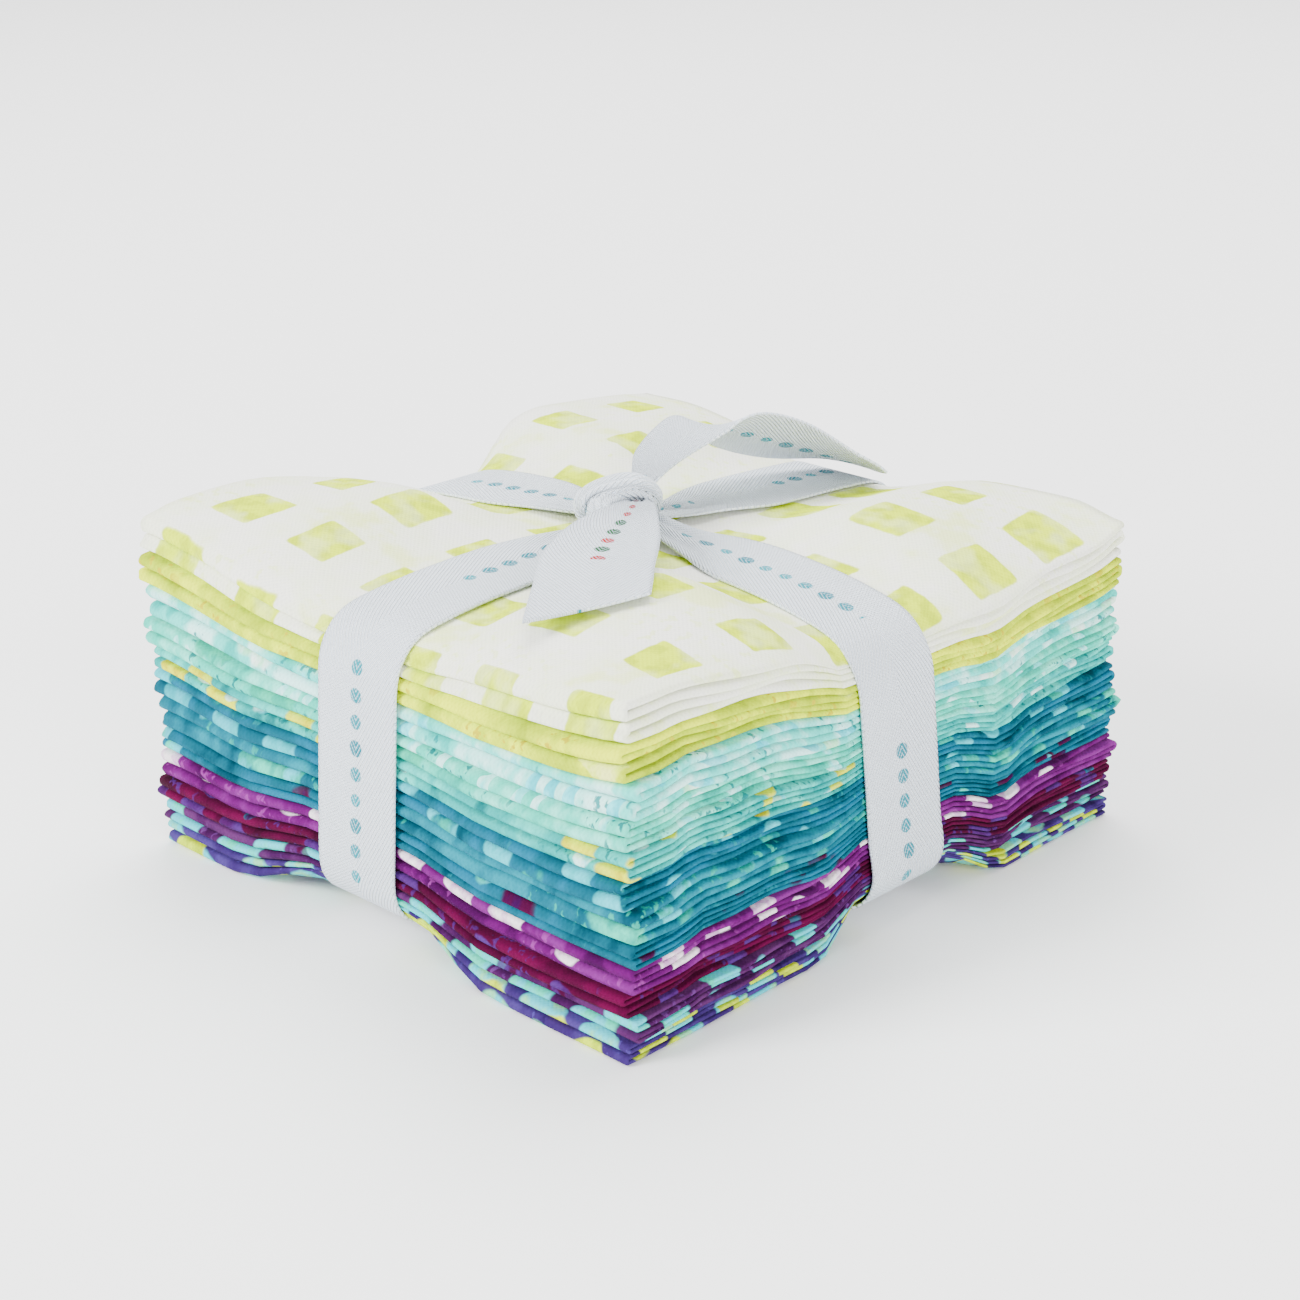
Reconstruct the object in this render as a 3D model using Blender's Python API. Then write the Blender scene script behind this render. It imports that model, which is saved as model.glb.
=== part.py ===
"""Fat quarter bundle: twelve folded cotton pieces in a stack, tied both ways with one ribbon.

Each fat quarter is a sheet laid back and forth in four layers, thickened, and then pressed into
the shape of the tied stack: the ribbon draws the middle of every side in, and the four quarters
between the bands puff up. The ribbon is one solid: two bands, a knot and two free ends.
Metres, +Z up. The folds face -Y, the layer ends face +X and -X, and the stack stands on z = 0.
"""

import math
from collections import namedtuple

import bmesh
import bpy
import numpy as np
from mathutils import Vector

MM = 0.001

# Stack, before it is tied
WIDTH = 114.3 * MM  # X: 18 inches folded in four
DEPTH = 126.0 * MM  # Y: 20.5 inches laid back and forth in four runs
HEIGHT = 57.6 * MM  # of the untied stack, near that of the corners
LAYERS = 4
LAYER_GAP = 0.32 * MM
FOLD_STEPS = 3

# Tied stack: how far the top puffs up between the bands, and the lines where the cloth bends
CROWN = 3.0 * MM
CROWN_POWER = 4
TOP_POWER = 6  # the higher, the nearer to the rims the top takes on the rims' own lines
BOTTOM_POWER = 12
X_LINES = np.array([-57.15, -50, -13, 6.4, 30, 50, 57.15]) * MM
Y_LINES = np.array([-63, -55, -42, -24, -7.7, 11.7, 29, 42, 55, 63]) * MM
FOLD_ROOM = 1.6 * MM  # between the rim and where the thickest round fold begins

# The top: heights of its corners, front left, front right, back left and back right, and how far
# each rim stands above the straight line between its corners, at every one of the lines, in mm
CORNERS = (60.0, 57.6, 58.0, 55.8)
FRONT_RIM = np.array([0, -0.6, -6.2, -6.2, -4.0, -1.5, 0]) * MM
BACK_RIM = np.array([0, 0.2, -4.4, -4.4, 0.7, 1.7, 0]) * MM
LEFT_RIM = np.array([0, 1.7, 2.2, -0.7, -7.4, -7.4, 2.4, 2.4, 0.9, 0]) * MM
RIGHT_RIM = np.array([0, -0.3, -1.3, -3.5, -7.3, -7.3, -6.0, -4.1, -2.0, 0]) * MM

# Ribbon
RIBBON_WIDTH = 18.5 * MM
RIBBON_THICK = 1.0 * MM
RIBBON_CLEAR = 0.6 * MM
PRESSED_WIDTH = RIBBON_WIDTH + 1.0 * MM  # how wide the cloth lies flat under a band
KNOT_LIFT = 1.6 * MM  # how much the bands rise off the top near the knot
GATHERED = 0.35  # width of a band in the knot, as a share of the full width
CORNER_STEPS = 3  # points of a band's turn round an edge of the stack
KNOT_CENTRE = Vector((-4.0, 1.0, 60.9)) * MM
KNOT_SIZE = Vector((14.0, 12.0, 7.4)) * MM
KNOT_FOLD = 0.09  # depth of the knot's twisted folds, as a share of its radius
IN_KNOT = 2.5 * MM  # how far from the knot's middle each end of a band stops inside it
CUT_SLANT = 13.0 * MM  # how much longer one edge of a free end is than the other

# The two bands: the place of the middle line across the band, how far its pull reaches past its
# edges, how deep it presses the top inside the rims and the bottom at the rims and inside them,
# and how far it draws the sides in
Band = namedtuple("Band", "middle reach top_inner bottom_edge bottom_inner drawn")
ALONG_Y = Band(-3.3 * MM, 23 * MM, 5.8 * MM, 4.8 * MM, 3.2 * MM, 0.8 * MM)
ALONG_X = Band(2.0 * MM, 16 * MM, 5.8 * MM, 4.8 * MM, 3.2 * MM, 0.9 * MM)

# The pieces, top to bottom: share of the height, and how far the piece stands out of the stack
# at the left and right end of the folds and at the front and back end of the +X side, in mm
Piece = namedtuple("Piece", "share left right front back colour roughness")
PIECES = [
    Piece(6.2, 0.2, 0.0, -0.6, 0.2, (0.88, 0.88, 0.80), 0.80),
    Piece(5.2, 1.0, 0.9, -0.4, 0.6, (0.62, 0.68, 0.08), 0.80),
    Piece(6.0, 0.2, -0.3, 0.9, -0.8, (0.62, 0.80, 0.76), 0.80),
    Piece(4.8, 0.9, 0.7, -0.2, 0.3, (0.30, 0.68, 0.60), 0.80),
    Piece(4.4, 0.3, 0.6, 0.8, -0.5, (0.10, 0.58, 0.62), 0.80),
    Piece(4.9, -0.3, 0.8, -0.4, 0.7, (0.02, 0.30, 0.35), 0.80),
    Piece(5.6, -0.4, -0.6, 0.8, 0.9, (0.02, 0.38, 0.42), 0.80),
    Piece(3.9, -0.2, -0.4, 0.7, -0.3, (0.03, 0.32, 0.44), 0.80),
    Piece(4.8, 0.1, -0.5, 0.3, 0.6, (0.36, 0.05, 0.26), 0.80),
    Piece(4.0, 0.2, 0.4, -0.7, 0.4, (0.34, 0.02, 0.10), 0.80),
    Piece(4.0, 0.1, -0.8, 0.9, -0.6, (0.12, 0.03, 0.18), 0.80),
    Piece(3.9, -0.6, 0.3, 0.2, 0.5, (0.06, 0.04, 0.22), 0.80),
]

# The free ends, from the knot outwards: place of the middle line, width, and bank in degrees.
# The front end lies on the top towards the front right corner; the back one arches over the top
TailRow = namedtuple("TailRow", "x y z width bank")
FRONT_TAIL = [
    TailRow(-3.6, 1.0, 60.9, 7.0, 0),
    TailRow(3.0, -6.5, 61.6, 11.0, 3),
    TailRow(9.0, -16.0, 61.6, 17.0, 2),
    TailRow(17.0, -27.0, 61.9, 18.5, 0),
    TailRow(25.0, -37.0, 61.5, 18.5, 0),
    TailRow(31.8, -45.0, 61.4, 18.5, 0),
]
BACK_TAIL = [
    TailRow(-4.6, 3.0, 61.4, 6.0, 0),
    TailRow(-6.2, 10.5, 65.0, 10.0, -4),
    TailRow(-6.0, 19.0, 68.2, 18.0, 14),
    TailRow(-5.2, 29.0, 67.2, 18.5, 28),
    TailRow(-2.0, 41.0, 63.0, 18.5, 32),
    TailRow(2.0, 52.5, 59.8, 18.5, 14),
    TailRow(3.8, 58.4, 56.9, 18.5, 2),
]


def clear_scene():
    for old in list(bpy.data.objects):
        bpy.data.objects.remove(old, do_unlink=True)


def material(name, colour, roughness):
    made = bpy.data.materials.new(name)
    made.use_nodes = True
    shader = made.node_tree.nodes["Principled BSDF"]
    shader.inputs["Base Color"].default_value = (*colour, 1.0)
    shader.inputs["Roughness"].default_value = roughness
    shader.inputs["Metallic"].default_value = 0.0
    return made


def add_object(name, mesh, finish=None):
    made = bpy.data.objects.new(name, mesh)
    bpy.context.scene.collection.objects.link(made)
    if finish is not None:
        mesh.materials.append(finish)
    return made


def evaluated_mesh(source):
    """The object's mesh with its modifiers applied."""
    graph = bpy.context.evaluated_depsgraph_get()
    return bpy.data.meshes.new_from_object(source.evaluated_get(graph), depsgraph=graph)


def pull(band, across):
    """1 under the band, falling along a cosine to 0 where the band's pull ends."""
    past_edge = np.abs(across - band.middle) - PRESSED_WIDTH / 2
    return 0.5 + 0.5 * np.cos(np.pi * np.clip(past_edge / band.reach, 0, 1))


def top_heights(x, y):
    """Plane of the corners, plus the puff, less the dips inside, plus each rim's line near it."""
    s, t = x / WIDTH + 0.5, y / DEPTH + 0.5
    front = CORNERS[0] + (CORNERS[1] - CORNERS[0]) * s
    back = CORNERS[2] + (CORNERS[3] - CORNERS[2]) * s
    plane = (front + (back - front) * t) * MM
    to_side, to_end = np.abs(2 * s - 1), np.abs(2 * t - 1)
    puff = CROWN * (1 - to_side**CROWN_POWER) * (1 - to_end**CROWN_POWER)
    near_side, near_end = to_side**TOP_POWER, to_end**TOP_POWER
    dips = np.maximum(pull(ALONG_Y, x) * ALONG_Y.top_inner, pull(ALONG_X, y) * ALONG_X.top_inner)
    ends = np.where(y < 0, FRONT_RIM[:, None], BACK_RIM[:, None])
    sides = np.where(x < 0, LEFT_RIM, RIGHT_RIM)
    inside = (1 - near_side) * (1 - near_end)
    return plane + puff - dips * inside + ends * near_end + sides * near_side


def bottom_heights(x, y):
    """0, raised where the bands draw the bottom in, most of all at the rims."""
    near_side = np.abs(2 * x / WIDTH) ** BOTTOM_POWER
    near_end = np.abs(2 * y / DEPTH) ** BOTTOM_POWER

    def raised(band, held, near_rim):
        return held * (band.bottom_inner + (band.bottom_edge - band.bottom_inner) * near_rim)

    along = raised(ALONG_Y, pull(ALONG_Y, x), near_end)
    across = raised(ALONG_X, pull(ALONG_X, y), near_side)
    return np.maximum(along, across)


GRID = np.meshgrid(X_LINES, Y_LINES, indexing="ij")
TOP = top_heights(*GRID)
BOTTOM = bottom_heights(*GRID)


def over_grid(heights, x, y):
    """Bilinear reading of a grid of heights, carried straight on past its rim."""
    i = np.clip(np.searchsorted(X_LINES, x) - 1, 0, len(X_LINES) - 2)
    j = np.clip(np.searchsorted(Y_LINES, y) - 1, 0, len(Y_LINES) - 2)
    u = (x - X_LINES[i]) / (X_LINES[i + 1] - X_LINES[i])
    v = (y - Y_LINES[j]) / (Y_LINES[j + 1] - Y_LINES[j])
    near = heights[i, j] * (1 - u) + heights[i + 1, j] * u
    far = heights[i, j + 1] * (1 - u) + heights[i + 1, j + 1] * u
    return near * (1 - v) + far * v


def past(lines, value):
    """0 up to the last line inside the rim, 1 from where the round folds begin outwards."""
    return np.clip((np.abs(value) - lines[-2]) / (lines[-1] - FOLD_ROOM - lines[-2]), 0, 1)


def press(points, piece):
    """Moves points of the untied stack to where the ribbon and careless stacking leave them."""
    x, y, z = points.T
    along_folds = x / WIDTH + 0.5
    along_side = y / DEPTH + 0.5
    out_front = (piece.left + (piece.right - piece.left) * along_folds) * MM
    out_side = (piece.front + (piece.back - piece.front) * along_side) * MM
    held_y, held_x = pull(ALONG_Y, x), pull(ALONG_X, y)
    new_x = x + past(X_LINES, x) * (out_side * (1 - held_x) - np.sign(x) * ALONG_X.drawn * held_x)
    new_y = y - past(Y_LINES, y) * (out_front * (1 - held_y) + np.sign(y) * ALONG_Y.drawn * held_y)
    low = over_grid(BOTTOM, new_x, new_y)
    high = over_grid(TOP, new_x, new_y)
    return np.column_stack([new_x, new_y, low + z / HEIGHT * (high - low)])


def back_and_forth(low, pitch, thickness):
    """Middle line of one piece's layers in the YZ plane, from the bottom layer's open end.

    Returns the points and, for each step between them, whether it runs towards -Y."""
    radius = pitch / 2
    reach = DEPTH / 2 - radius - thickness / 2
    runs = np.concatenate([[-reach], Y_LINES[1:-1], [reach]])
    turns = np.linspace(-90, 90, FOLD_STEPS + 1)[1:-1]
    line, backwards = [], []
    for layer in range(LAYERS):
        towards_front = layer % 2 == 0
        height = low + (layer + 0.5) * pitch
        line += [(y, height) for y in (runs[::-1] if towards_front else runs)]
        backwards += [towards_front] * len(runs)
        if layer < LAYERS - 1:
            side = -1 if towards_front else 1
            line += [
                (
                    side * (reach + radius * math.cos(math.radians(turn))),
                    height + radius + radius * math.sin(math.radians(turn)),
                )
                for turn in turns
            ]
            backwards += [towards_front] * len(turns)
    return np.array(line), backwards[:-1]


def fat_quarter(name, piece, low, high):
    """One piece: its back-and-forth sheet between two heights of the stack, as a solid."""
    pitch = (high - low) / LAYERS
    thickness = pitch - LAYER_GAP
    line, backwards = back_and_forth(low, pitch, thickness)
    rows, columns = len(line), len(X_LINES)
    sheet = np.zeros((rows, columns, 3))
    sheet[:, :, 0] = X_LINES
    sheet[:, :, 1:] = line[:, None, :]
    faces = []
    for row in range(rows - 1):
        for column in range(columns - 1):
            a = row * columns + column
            b, c, d = a + 1, a + columns + 1, a + columns
            faces += [(a, b, d), (b, c, d)] if backwards[row] else [(a, b, c), (a, c, d)]
    mesh = bpy.data.meshes.new(name + "_sheet")
    mesh.from_pydata(sheet.reshape(-1, 3).tolist(), [], faces)
    guide = add_object(name + "_sheet", mesh)
    solidify = guide.modifiers.new("Cloth", "SOLIDIFY")
    solidify.thickness = thickness
    solidify.offset = 0
    solidify.use_even_offset = True
    solid = evaluated_mesh(guide)
    bpy.data.objects.remove(guide)
    solid.name = name
    points = np.empty(len(solid.vertices) * 3)
    solid.vertices.foreach_get("co", points)
    solid.vertices.foreach_set("co", press(points.reshape(-1, 3), piece).ravel())
    recalculate_normals(solid)
    add_object(name, solid, material(name, piece.colour, piece.roughness))


def recalculate_normals(mesh):
    work = bmesh.new()
    work.from_mesh(mesh)
    bmesh.ops.recalc_face_normals(work, faces=work.faces)
    work.to_mesh(mesh)
    work.free()


def strip(name, middle, sideways, widths, slant=0.0):
    """A closed flat strip along a line of points, as wide as told at each of them."""
    middle = [Vector(point) for point in middle]
    work = bmesh.new()
    rings = []
    for k, (point, side, width) in enumerate(zip(middle, sideways, widths)):
        ahead = (middle[min(k + 1, len(middle) - 1)] - middle[max(k - 1, 0)]).normalized()
        up = side.cross(ahead).normalized() * RIBBON_THICK / 2
        half = side.normalized() * width / 2
        skew = ahead * (slant / 2 if k == len(middle) - 1 else 0)
        corners = (half - skew + up, -half + skew + up, -half + skew - up, half - skew - up)
        rings.append([work.verts.new(point + corner) for corner in corners])
    for ring, following in zip(rings, rings[1:]):
        for k in range(4):
            work.faces.new((ring[k - 1], ring[k], following[k], following[k - 1]))
    work.faces.new(rings[0])
    work.faces.new(rings[-1])
    bmesh.ops.recalc_face_normals(work, faces=work.faces)
    mesh = bpy.data.meshes.new(name)
    work.to_mesh(mesh)
    work.free()
    return add_object(name, mesh)


def around_corner(corner, first, last, distance):
    """Points of a quarter turn about a corner, between two angles in degrees."""
    angles = np.radians(np.linspace(first, last, CORNER_STEPS))
    return [(corner[0] + distance * math.cos(a), corner[1] + distance * math.sin(a)) for a in angles]


def near_knot(place, knot_place):
    return abs(place - knot_place) < RIBBON_WIDTH


def band_line(lines, half, top_of, bottom_of, knot_at, sink):
    """A band's middle line in its own plane, as (place along the band, height) pairs.

    It starts in the knot, runs over the top to the low side, under the stack and back up."""
    over = RIBBON_CLEAR + RIBBON_THICK / 2
    under = over + sink
    knot_place, knot_height = knot_at
    inner = lines[1:-1]

    def on_top(places):
        lifts = [KNOT_LIFT if near_knot(t, knot_place) else 0 for t in places]
        return [(t, top_of(t) + over + lift) for t, lift in zip(places, lifts)]

    line = [(knot_place - IN_KNOT, knot_height)]
    line += on_top(inner[inner < knot_place][::-1])
    line += around_corner((-half, top_of(-half)), 90, 180, over)
    line += around_corner((-half, bottom_of(-half)), 180, 270, under)
    line += [(t, bottom_of(t) - under) for t in inner]
    line += around_corner((half, bottom_of(half)), 270, 360, under)
    line += around_corner((half, top_of(half)), 0, 90, over)
    line += on_top(inner[inner > knot_place][::-1])
    line += [(knot_place + IN_KNOT, knot_height)]
    return line


def band_widths(line, knot_place):
    """Full width on the stack, gathered towards the knot on the top."""
    widths = []
    for place, height in line:
        share = 1.0
        if height > HEIGHT / 2 and near_knot(place, knot_place):
            share = GATHERED + (1 - GATHERED) * abs(place - knot_place) / RIBBON_WIDTH
        widths.append(RIBBON_WIDTH * share)
    return widths


def band_along_y(name):
    x = ALONG_Y.middle
    half = DEPTH / 2 - ALONG_Y.drawn
    knot_at = (KNOT_CENTRE.y, KNOT_CENTRE.z)
    line = band_line(
        Y_LINES,
        half,
        lambda y: over_grid(TOP, x, y),
        lambda y: over_grid(BOTTOM, x, y),
        knot_at,
        sink=0.0,
    )
    sideways = [Vector((1, 0, 0))] * len(line)
    return strip(name, [(x, y, z) for y, z in line], sideways, band_widths(line, knot_at[0]))


def band_along_x(name):
    """The crosswise band, half a thickness outside the lengthwise one where they cross."""
    y = ALONG_X.middle
    half = WIDTH / 2 - ALONG_X.drawn
    knot_at = (KNOT_CENTRE.x, KNOT_CENTRE.z + RIBBON_THICK / 2)
    line = band_line(
        X_LINES,
        half,
        lambda x: over_grid(TOP, x, y),
        lambda x: over_grid(BOTTOM, x, y),
        knot_at,
        sink=RIBBON_THICK / 2,
    )
    sideways = [Vector((0, 1, 0))] * len(line)
    return strip(name, [(x, y, z) for x, z in line], sideways, band_widths(line, knot_at[0]))


def tail(name, rows, slant):
    """A free end of the ribbon from its table, banked about its middle line."""
    middle = [Vector((row.x, row.y, row.z)) * MM for row in rows]
    sideways = []
    for k, row in enumerate(rows):
        ahead = (middle[min(k + 1, len(rows) - 1)] - middle[max(k - 1, 0)]).normalized()
        level = ahead.cross(Vector((0, 0, 1))).normalized()
        bank = math.radians(row.bank)
        sideways.append(level * math.cos(bank) + level.cross(ahead) * math.sin(bank))
    return strip(name, middle, sideways, [row.width * MM for row in rows], slant)


def knot(name):
    """The knot: a flattened ball whose surface turns in three soft folds."""
    work = bmesh.new()
    bmesh.ops.create_icosphere(work, subdivisions=3, radius=0.5)
    for vert in work.verts:
        around = math.atan2(vert.co.y, vert.co.x)
        fold = 1 + KNOT_FOLD * math.cos(3 * around + 5 * vert.co.z)
        vert.co = KNOT_CENTRE + Vector(a * b for a, b in zip(vert.co * fold, KNOT_SIZE))
    mesh = bpy.data.meshes.new(name)
    work.to_mesh(mesh)
    work.free()
    return add_object(name, mesh)


def ribbon():
    """The whole ribbon, joined into one solid on the lengthwise band."""
    tie = band_along_y("ribbon")
    tie.data.materials.append(material("ribbon", (0.86, 0.87, 0.93), 0.65))
    joined = [
        band_along_x("crosswise_band"),
        knot("knot"),
        tail("front_tail", FRONT_TAIL, -CUT_SLANT),
        tail("back_tail", BACK_TAIL, CUT_SLANT / 2),
    ]
    for piece in joined:
        piece.hide_render = True
        piece.display_type = "WIRE"
        piece.hide_set(True)
        union = tie.modifiers.new(piece.name, "BOOLEAN")
        union.operation = "UNION"
        union.solver = "EXACT"
        union.object = piece


def bundle():
    clear_scene()
    total = sum(piece.share for piece in PIECES)
    high = HEIGHT + LAYER_GAP / 2
    for number, piece in enumerate(PIECES, start=1):
        low = high - (HEIGHT + LAYER_GAP) * piece.share / total
        fat_quarter(f"fat_quarter_{number:02d}", piece, low, high)
        high = low
    ribbon()


bundle()
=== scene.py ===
# %% [markdown]
# # A bundle of twelve fat quarters, tied with ribbon
# A fat quarter is a piece of quilting cotton cut 18 by 20.5 inches. Shops fold each one small,
# stack a dozen and tie them both ways with a ribbon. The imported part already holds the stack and
# the tie as plain solids at their real size. This lesson lays real cloth on those solids: twelve
# thin sheets folded the way a shop folds them, a woven ribbon with a knot, and batik dye.

import math
from collections import namedtuple

import bpy
import numpy as np
from mathutils import Matrix, Vector


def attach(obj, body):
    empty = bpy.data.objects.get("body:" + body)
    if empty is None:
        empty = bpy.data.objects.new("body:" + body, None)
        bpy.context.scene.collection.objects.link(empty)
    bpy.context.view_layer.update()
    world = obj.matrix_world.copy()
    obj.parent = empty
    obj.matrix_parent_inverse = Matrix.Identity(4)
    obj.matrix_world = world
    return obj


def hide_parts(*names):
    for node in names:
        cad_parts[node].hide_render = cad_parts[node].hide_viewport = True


MM = 0.001
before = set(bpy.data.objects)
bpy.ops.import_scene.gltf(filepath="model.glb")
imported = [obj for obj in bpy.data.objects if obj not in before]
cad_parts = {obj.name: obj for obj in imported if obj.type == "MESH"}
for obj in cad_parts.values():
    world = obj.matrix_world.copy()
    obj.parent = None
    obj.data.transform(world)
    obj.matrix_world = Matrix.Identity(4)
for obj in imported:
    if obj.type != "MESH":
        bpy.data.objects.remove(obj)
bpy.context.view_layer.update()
print("solids:", sorted(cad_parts))

# %% [markdown]
# ## Camera, floor and light
# The picture is taken from the front right corner, a little above the top. A camera is easiest to
# read as three directions: right, up and back, away from the stack. The stack is then brought to
# its place in the picture by sliding the camera sideways and up, so the lens needs no shift.

# %% The camera
AZIMUTH = math.radians(43.5)
ELEVATION = math.radians(20.7)
DISTANCE = 448 * MM
SLIDE_RIGHT = 1.5 * MM
SLIDE_UP = 31.6 * MM
LENS = 68.9  # mm, on a sensor 36 mm wide


def make_camera():
    """back = (sin a cos e, -cos a cos e, sin e), right = (cos a, sin a, 0), up = back x right."""
    back = Vector(
        (
            math.sin(AZIMUTH) * math.cos(ELEVATION),
            -math.cos(AZIMUTH) * math.cos(ELEVATION),
            math.sin(ELEVATION),
        )
    )
    right = Vector((math.cos(AZIMUTH), math.sin(AZIMUTH), 0))
    up = back.cross(right)
    camera = bpy.data.objects.new("camera", bpy.data.cameras.new("camera"))
    bpy.context.scene.collection.objects.link(camera)
    turn = Matrix((right, up, back)).transposed().to_4x4()
    place = back * DISTANCE + right * SLIDE_RIGHT + up * SLIDE_UP
    camera.matrix_world = Matrix.Translation(place) @ turn
    camera.data.lens = LENS
    camera.data.sensor_width = 36
    camera.data.clip_start = 0.01
    bpy.context.scene.camera = camera
    return camera


print("camera at", [round(value, 3) for value in make_camera().location])

# %% The floor and the soft lights
FLOOR_HALF = 4.0
FLOOR_DROP = 0.2 * MM  # the floor lies this far under the stack, so that the two never flicker


def make_floor():
    """A square of pale floor, far wider than the picture."""
    side = FLOOR_HALF
    corners = [(-side, -side), (side, -side), (side, side), (-side, side)]
    mesh = bpy.data.meshes.new("floor")
    mesh.from_pydata([(x, y, -FLOOR_DROP) for x, y in corners], [], [(0, 1, 2, 3)])
    floor = bpy.data.objects.new("floor", mesh)
    bpy.context.scene.collection.objects.link(floor)
    paint = bpy.data.materials.new("pale_floor")
    paint.use_nodes = True
    shader = paint.node_tree.nodes["Principled BSDF"]
    shader.inputs["Base Color"].default_value = (0.95, 0.95, 0.95, 1)
    shader.inputs["Roughness"].default_value = 0.9
    mesh.materials.append(paint)


def make_light(name, place, size, power):
    """A square area light that looks at the middle of the stack."""
    lamp = bpy.data.lights.new(name, "AREA")
    lamp.energy = power
    lamp.size = size
    light = bpy.data.objects.new(name, lamp)
    bpy.context.scene.collection.objects.link(light)
    light.location = place
    light.rotation_mode = "QUATERNION"
    light.rotation_quaternion = (Vector((0, 0, 0.03)) - Vector(place)).to_track_quat("-Z", "Y")


def make_studio():
    """White surroundings, a key light from the front left, a fill from the right, a top light."""
    make_floor()
    world = bpy.data.worlds.new("white_room")
    world.use_nodes = True
    world.node_tree.nodes["Background"].inputs["Color"].default_value = (1, 1, 1, 1)
    world.node_tree.nodes["Background"].inputs["Strength"].default_value = 1.0
    bpy.context.scene.world = world
    make_light("key", (-0.45, -1.1, 0.7), 0.5, 36)
    make_light("fill", (1.2, -0.4, 0.45), 0.8, 23)
    make_light("top", (-0.5, 0.8, 1.7), 1.6, 78)


make_studio()

# %% [markdown]
# ## The tied stack as one soft shape
# A ribbon round a soft stack presses a valley into the top and the bottom, draws the sides in and
# leaves four puffed quarters. It is simplest to model the stack square and untied first, and then
# to move every point with one function. The same function gives the ribbon its seat, so cloth and
# ribbon can't drift apart. A cloth simulation of 192 plies would be slow and would never settle
# as neatly as a pressed stack.

# %% Sizes of the stack, in metres
WIDTH = 114.3 * MM
DEPTH = 126.0 * MM
HEIGHT = 57.6 * MM
LAYERS = 4
LAYER_GAP = 0.32 * MM
CROWN = 3.0 * MM
CROWN_POWER = 4
BOTTOM_POWER = 12  # how near the rim the bottom's dips begin to deepen
TOP_POWER = 6  # the higher, the nearer to the rims the top takes on the rims' own lines
RIBBON_WIDTH = 18.5 * MM
PRESSED_WIDTH = RIBBON_WIDTH + 1.0 * MM
RIM_ROUND = 6.0 * MM  # how round the ribbon makes the stack's edges
RIM_SOFT_X = 7.0 * MM  # the strip inside the rim over which a layer can slide
RIM_SOFT_Y = 8.0 * MM

Band = namedtuple("Band", "middle reach top_inner bottom_edge bottom_inner drawn")
ALONG_Y = Band(-3.3 * MM, 23 * MM, 5.8 * MM, 4.8 * MM, 3.2 * MM, 0.8 * MM)
ALONG_X = Band(2.0 * MM, 16 * MM, 5.8 * MM, 4.8 * MM, 3.2 * MM, 0.9 * MM)
# Heights of the four top corners in mm: front left, front right, back left, back right
CORNERS = (60.0, 57.6, 58.0, 55.8)
# Each top rim, measured from the straight line between its corners: (place, height) in mm
FRONT_RIM = [(-57, 0), (-43, -1.3), (-33, -3.0), (-22.5, -5.3), (-13, -6.2), (9, -6.2)]
FRONT_RIM += [(20.5, -5.0), (31, -4.0), (44, -2.6), (52, -1.1), (57, 0)]
BACK_RIM = [(-57, 0), (-46, 0.3), (-36, -1.0), (-24, -3.2), (-13, -4.4), (6.4, -4.4)]
BACK_RIM += [(21, -0.7), (30, 0.7), (38.6, 1.5), (47, 1.9), (57, 0)]
LEFT_RIM = [(-63, 0), (-55.6, 1.7), (-48, 2.4), (-42, 2.2), (-28, 0.3), (-18, -2.4), (-13, -4.2)]
LEFT_RIM += [(-9, -7.4), (10, -7.4), (13, -4.0), (16, -1.6), (21, 0.8), (26, 2.1), (31, 2.8)]
LEFT_RIM += [(39.5, 2.5), (52, 1.2), (63, 0)]
RIGHT_RIM = [(-63, 0), (-47.6, -0.8), (-39, -1.5), (-27.5, -2.9), (-18, -4.9), (-11, -7.3)]
RIGHT_RIM += [(7, -7.3), (23, -6.6), (34, -5.3), (46, -3.5), (55, -2.0), (63, 0)]
print("stack in mm:", WIDTH / MM, "x", DEPTH / MM, "x", HEIGHT / MM)


# %% Smooth steps and wandering lines
def ease(share):
    """0 below 0, 1 above 1, and the cubic 3s^2 - 2s^3 between."""
    share = np.clip(share, 0, 1)
    return share * share * (3 - 2 * share)


def smooth_line(table, at):
    """Cubic curve through the (place, height) pairs of a table that never overshoots a pair.

    The slope at a pair is the harmonic mean of the slopes on both sides, or 0 where they differ
    in sign, so a stretch between two equal heights stays level."""
    places, heights = np.array(table, float).T
    steps = np.diff(places)
    steep = np.diff(heights) / steps
    both = steep[:-1] * steep[1:]
    added = steep[:-1] + steep[1:]
    slopes = np.zeros(len(places))
    slopes[1:-1] = np.where(both > 0, 2 * both / np.where(added == 0, 1, added), 0)
    k = np.clip(np.searchsorted(places, at) - 1, 0, len(places) - 2)
    t = np.clip((at - places[k]) / steps[k], 0, 1)
    ends = heights[k] * (1 + 2 * t) * (1 - t) ** 2 + heights[k + 1] * t**2 * (3 - 2 * t)
    bends = slopes[k] * t * (1 - t) ** 2 - slopes[k + 1] * t**2 * (1 - t)
    return ends + steps[k] * bends


def wander(seed, at, length):
    """A line that wanders about 0 within about 1: six sines of seeded lengths and phases."""
    draw = np.random.default_rng(seed)
    waves = length * draw.uniform(0.35, 1.3, 6)
    phases = draw.uniform(0, 2 * np.pi, 6)
    at = np.asarray(at, float)[..., None]
    return np.sin(2 * np.pi * at / waves + phases).sum(-1) / 2.6


print("a wandering line:", np.round(wander(1, np.linspace(0, 0.1, 5), 0.03), 2))


# %% Where each band runs
LEAN_HEIGHT = 53 * MM  # of the top edges under the bands, where the leans are measured


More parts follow.
